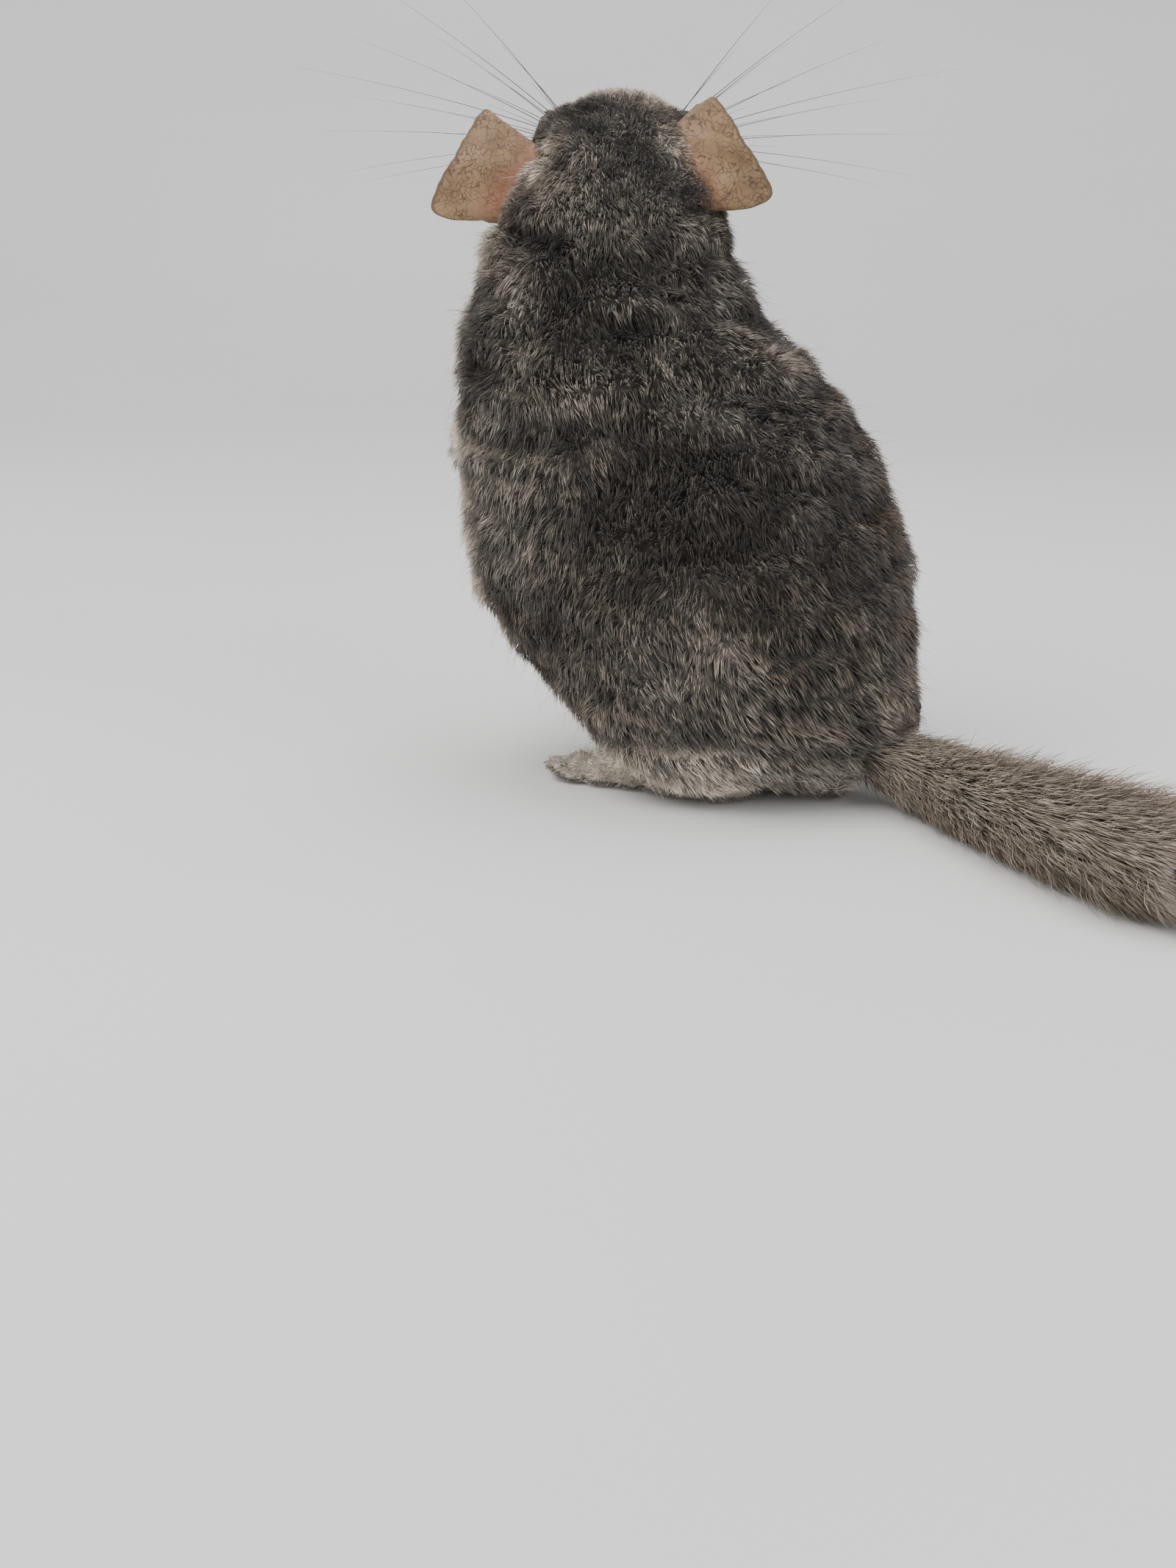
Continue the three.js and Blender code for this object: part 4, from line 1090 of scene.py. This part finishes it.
# %% A ball from rings
def add_ball(name, centre, radii, material, slot, around=48, down=32):
    """A closed ball in the head's directions, with its radii in millimetres."""
    polar = np.linspace(0, math.pi, down + 1)[1:-1]
    turn = np.arange(around) / around * 2 * math.pi
    grid = np.array([[math.sin(p) * math.cos(a), math.sin(p) * math.sin(a), math.cos(p)]
                     for p in polar for a in turn])
    points = np.vstack([grid, [[0, 0, 1], [0, 0, -1]]]) * np.array(radii) * MM
    return add_object(name, centre + points @ HEAD, ring_faces(len(polar), around), material, slot)


# %% Eyes between their lids
EYE_RADIUS, BALL_RADIUS, EYE_PLACE = 6.6, 6.6 * 0.985, (14.5, 19.9, 4.5)
LID_OPEN, LID_RISE, LID_THICK, LID_STEPS = 0.80, 2.2, 0.5 * MM, 48
LID_RINGS = ((0.0, 0.05), (0.06, 0.16), (0.22, 0.20), (0.5, 0.05), (0.75, -0.35))

for name, side in SIDES.items():
    centre = on_head(*mirrored(EYE_PLACE, side))
    eye = add_ball(f"eye_{name}_ball", centre, [BALL_RADIUS] * 3, eye_finish, "eye")
    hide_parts(f"eye_{name}")
    gaze = unit((HEAD[1] * side + HEAD[0] * 0.28 + HEAD[2] * 0.12)[None])[0]
    first = unit(np.cross(gaze, HEAD[2])[None])[0]
    second = np.cross(gaze, first)
    lid_points = []
    for spread, rise in LID_RINGS:
        reach = (EYE_RADIUS + rise * LID_RISE) * MM
        for angle in np.arange(LID_STEPS) / LID_STEPS * 2 * math.pi:
            opening = math.asin(LID_OPEN * (1 - 0.10 * math.sin(angle) ** 2)) + spread
            ring_way = first * math.cos(angle) + second * math.sin(angle)
            lid_points.append(centre + (gaze * math.cos(opening) + ring_way * math.sin(opening)) * reach)
    quads = ring_faces(len(LID_RINGS), LID_STEPS)[0][:, [0, 3, 2, 1]]
    lid = add_object(f"lid_{name}", lid_points, [quads], lid_finish, "nose_skin")
    thicker = lid.modifiers.new("thick", "SOLIDIFY")
    thicker.thickness, thicker.offset = LID_THICK, -1
    print(eye.name, "and", lid.name)

# %% [markdown]
# ## Nose
# The nose is a small bare pad with two nostrils over a split lip. Cutting the nostrils out would
# leave hard edges, so a soft ball is pressed in along the middle and at the nostrils, by moving
# its own points, which keeps it one closed form.

# %% Nose pad
NOSE_CENTRE, NOSE_HALF = (39.2, 0, -4.2), (3.1, 4.1, 3.0)
NOSE_TINTS = [(0.3, (0.27, 0.145, 0.12)), (0.7, (0.44, 0.26, 0.225))]
GROOVE_DEEP, NOSTRIL_DEEP, NOSTRIL_PLACE, NOSTRIL_HALF = 0.55, 1.5, (2.0, -0.5), (1.0, 0.75)
nose_finish, tree, shader = new_material("nose_skin", 0.42, specular=0.4)
add_tint(tree, shader, NOSE_TINTS, 1400.0, 3.0)
add_bump(tree, shader, 2600.0, 0.6, 0.0002)
nose = add_ball("nose_pad", on_head(*NOSE_CENTRE), NOSE_HALF, nose_finish, "nose_skin", 64, 44)
points = read_values(nose.data.vertices, "co", 3)
forward, left, up = local_mm(points, on_head(*NOSE_CENTRE), HEAD).T
press = GROOVE_DEEP * np.exp(-(left / 0.5) ** 2) * (up < 1.2) * smooth(0, 1, forward)
for side in SIDES.values():
    beside = (left - side * NOSTRIL_PLACE[0]) / NOSTRIL_HALF[0]
    above = (up - NOSTRIL_PLACE[1]) / NOSTRIL_HALF[1]
    press = press + NOSTRIL_DEEP * np.exp(-(beside**2 + above**2)) * smooth(0, 1, forward)
points = points - press[:, None] * MM * HEAD[0]
nose.data.vertices.foreach_set("co", points.ravel())
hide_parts("nose")
print("nose:", len(points), "points")

# %% [markdown]
# ## Whiskers
# Whiskers are stiff tapered hairs, about a third of a millimetre thick, that fan out of each pad.
# They could be drawn one by one, but they are one shape repeated at many roots, each with its
# own length and aim, so Geometry Nodes suit them: a tapered bent tube is put on every root
# point, and the copies are made real.

# %% Whisker roots
WHISKERS = 18
WHISKER_SIZES = {"Thickness": 0.36 * MM, "Bend": 0.16}


def whisker_roots(side):
    """Roots, aims and lengths, spread as on the solid pads, with finer short ones between."""
    found = []
    for i in range(WHISKERS):
        share, row = i / (WHISKERS - 1), i % 3
        long = (96 - 34 * abs(share - 0.35) - row * 9) * (1.0 if i % 2 == 0 else 0.5)
        lift = math.radians(-14 + 76 * share)
        sideways = HEAD[1] * side * math.cos(lift) + HEAD[2] * math.sin(lift) * 0.9
        way = sideways + HEAD[0] * (0.3 - row * 0.14)
        spot = np.array([0.6 - 1.1 * row / 2, side * 1.3, -0.6 + 1.3 * share])
        spot = spot / np.linalg.norm(spot) * 0.84 * np.array(PAD_HALF)
        root = on_head(*(spot + mirrored(PAD_CENTRE, side)))
        found.append((root, way / np.linalg.norm(way), long * MM))
    return found


whisker_finish, tree, shader = new_material("whisker", 0.35, specular=0.5)
add_tint(tree, shader, [(0.35, (0.03, 0.028, 0.027)), (0.75, (0.12, 0.115, 0.11))], 40.0)
print("whiskers on a side:", WHISKERS)


# %% One tree of nodes for the whiskers
def multiplied(tree, first, second):
    return add_node(tree, "ShaderNodeMath", {0: first, 1: second}, operation="MULTIPLY").outputs[0]


def kept_on_roots(tree, name, kind):
    node = add_node(tree, "GeometryNodeInputNamedAttribute", data_type=kind)
    node.inputs["Name"].default_value = name
    return node.outputs[0]


def whisker_tree():
    tree = bpy.data.node_groups.new("whiskers", "GeometryNodeTree")
    tree.interface.new_socket("Roots", in_out="INPUT", socket_type="NodeSocketGeometry")
    for label in WHISKER_SIZES:
        tree.interface.new_socket(label, in_out="INPUT", socket_type="NodeSocketFloat")
    tree.interface.new_socket("Geometry", in_out="OUTPUT", socket_type="NodeSocketGeometry")
    given, result = tree.nodes.new("NodeGroupInput"), tree.nodes.new("NodeGroupOutput")
    line = add_node(tree, "GeometryNodeCurvePrimitiveLine")
    line.inputs["Start"].default_value, line.inputs["End"].default_value = (0, 0, 0), (0, 0, 1)
    fine = add_node(tree, "GeometryNodeResampleCurve", {"Curve": line.outputs[0]}, Count=14)
    along = add_node(tree, "GeometryNodeSplineParameter").outputs["Factor"]
    lean = multiplied(tree, multiplied(tree, along, along), given.outputs["Bend"])
    shift = add_node(tree, "ShaderNodeCombineXYZ", {"X": lean}).outputs[0]
    bent = add_node(tree, "GeometryNodeSetPosition", {"Geometry": fine.outputs[0], "Offset": shift})
    taper = add_node(tree, "ShaderNodeMapRange", {"Value": along})
    taper.inputs["To Min"].default_value, taper.inputs["To Max"].default_value = 1.0, 0.12
    wide = multiplied(tree, taper.outputs[0], given.outputs["Thickness"])
    tapered = add_node(tree, "GeometryNodeSetCurveRadius", {"Curve": bent.outputs[0], "Radius": wide})
    upright = add_node(
        tree, "FunctionNodeAlignRotationToVector",
        {"Vector": kept_on_roots(tree, "aim", "FLOAT_VECTOR")}, axis="Z")
    faced = add_node(
        tree, "FunctionNodeAlignRotationToVector",
        {"Rotation": upright.outputs[0], "Vector": kept_on_roots(tree, "back", "FLOAT_VECTOR")},
        axis="X", pivot_axis="Z")
    spread = add_node(
        tree, "GeometryNodeInstanceOnPoints", {
            "Points": given.outputs["Roots"], "Instance": tapered.outputs[0],
            "Rotation": faced.outputs[0], "Scale": kept_on_roots(tree, "long", "FLOAT")})
    real = add_node(tree, "GeometryNodeRealizeInstances", {"Geometry": spread.outputs[0]}).outputs[0]
    kept = add_node(tree, "GeometryNodeInputRadius").outputs[0]
    thin = add_node(tree, "GeometryNodeCurvePrimitiveCircle", Resolution=6)
    thin.inputs["Radius"].default_value = 0.5
    tube = add_node(
        tree, "GeometryNodeCurveToMesh", {"Curve": real, "Profile Curve": thin.outputs[0], "Scale": kept},
        Fill_Caps=True)
    settled = add_node(tree, "GeometryNodeRealizeInstances", {"Geometry": tube.outputs[0]}).outputs[0]
    coloured = add_node(tree, "GeometryNodeSetMaterial", {"Geometry": settled}, Material=whisker_finish)
    tree.links.new(coloured.outputs[0], result.inputs[0])
    return tree


nodes_for_whiskers = whisker_tree()
print("whisker tree:", len(nodes_for_whiskers.nodes), "nodes")

# %% Whiskers on both pads
identifiers = {item.name: item.identifier for item in nodes_for_whiskers.interface.items_tree}
for name, side in SIDES.items():
    root, way, long = (np.array(column) for column in zip(*whisker_roots(side)))
    holder_mesh = bpy.data.meshes.new("whisker_roots")
    holder_mesh.from_pydata(root.tolist(), [], [])
    keep_values(holder_mesh, {"long": long})
    for label, direction in (("aim", way), ("back", np.tile(-HEAD[0], (WHISKERS, 1)))):
        holder_mesh.attributes.new(label, "FLOAT_VECTOR", "POINT").data.foreach_set(
            "vector", direction.ravel())
    holder = new_object("whisker_roots", holder_mesh)
    growth = holder.modifiers.new("whiskers", "NODES")
    growth.node_group = nodes_for_whiskers
    for label, value in WHISKER_SIZES.items():
        growth[identifiers[label]] = value
    made = settled_mesh(holder)
    made.name = f"whiskers_{name}_hair"
    whiskers = new_object(made.name, made)
    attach(whiskers, "root")
    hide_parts(f"whiskers_{name}")
    print(whiskers.name, len(made.vertices), "points")
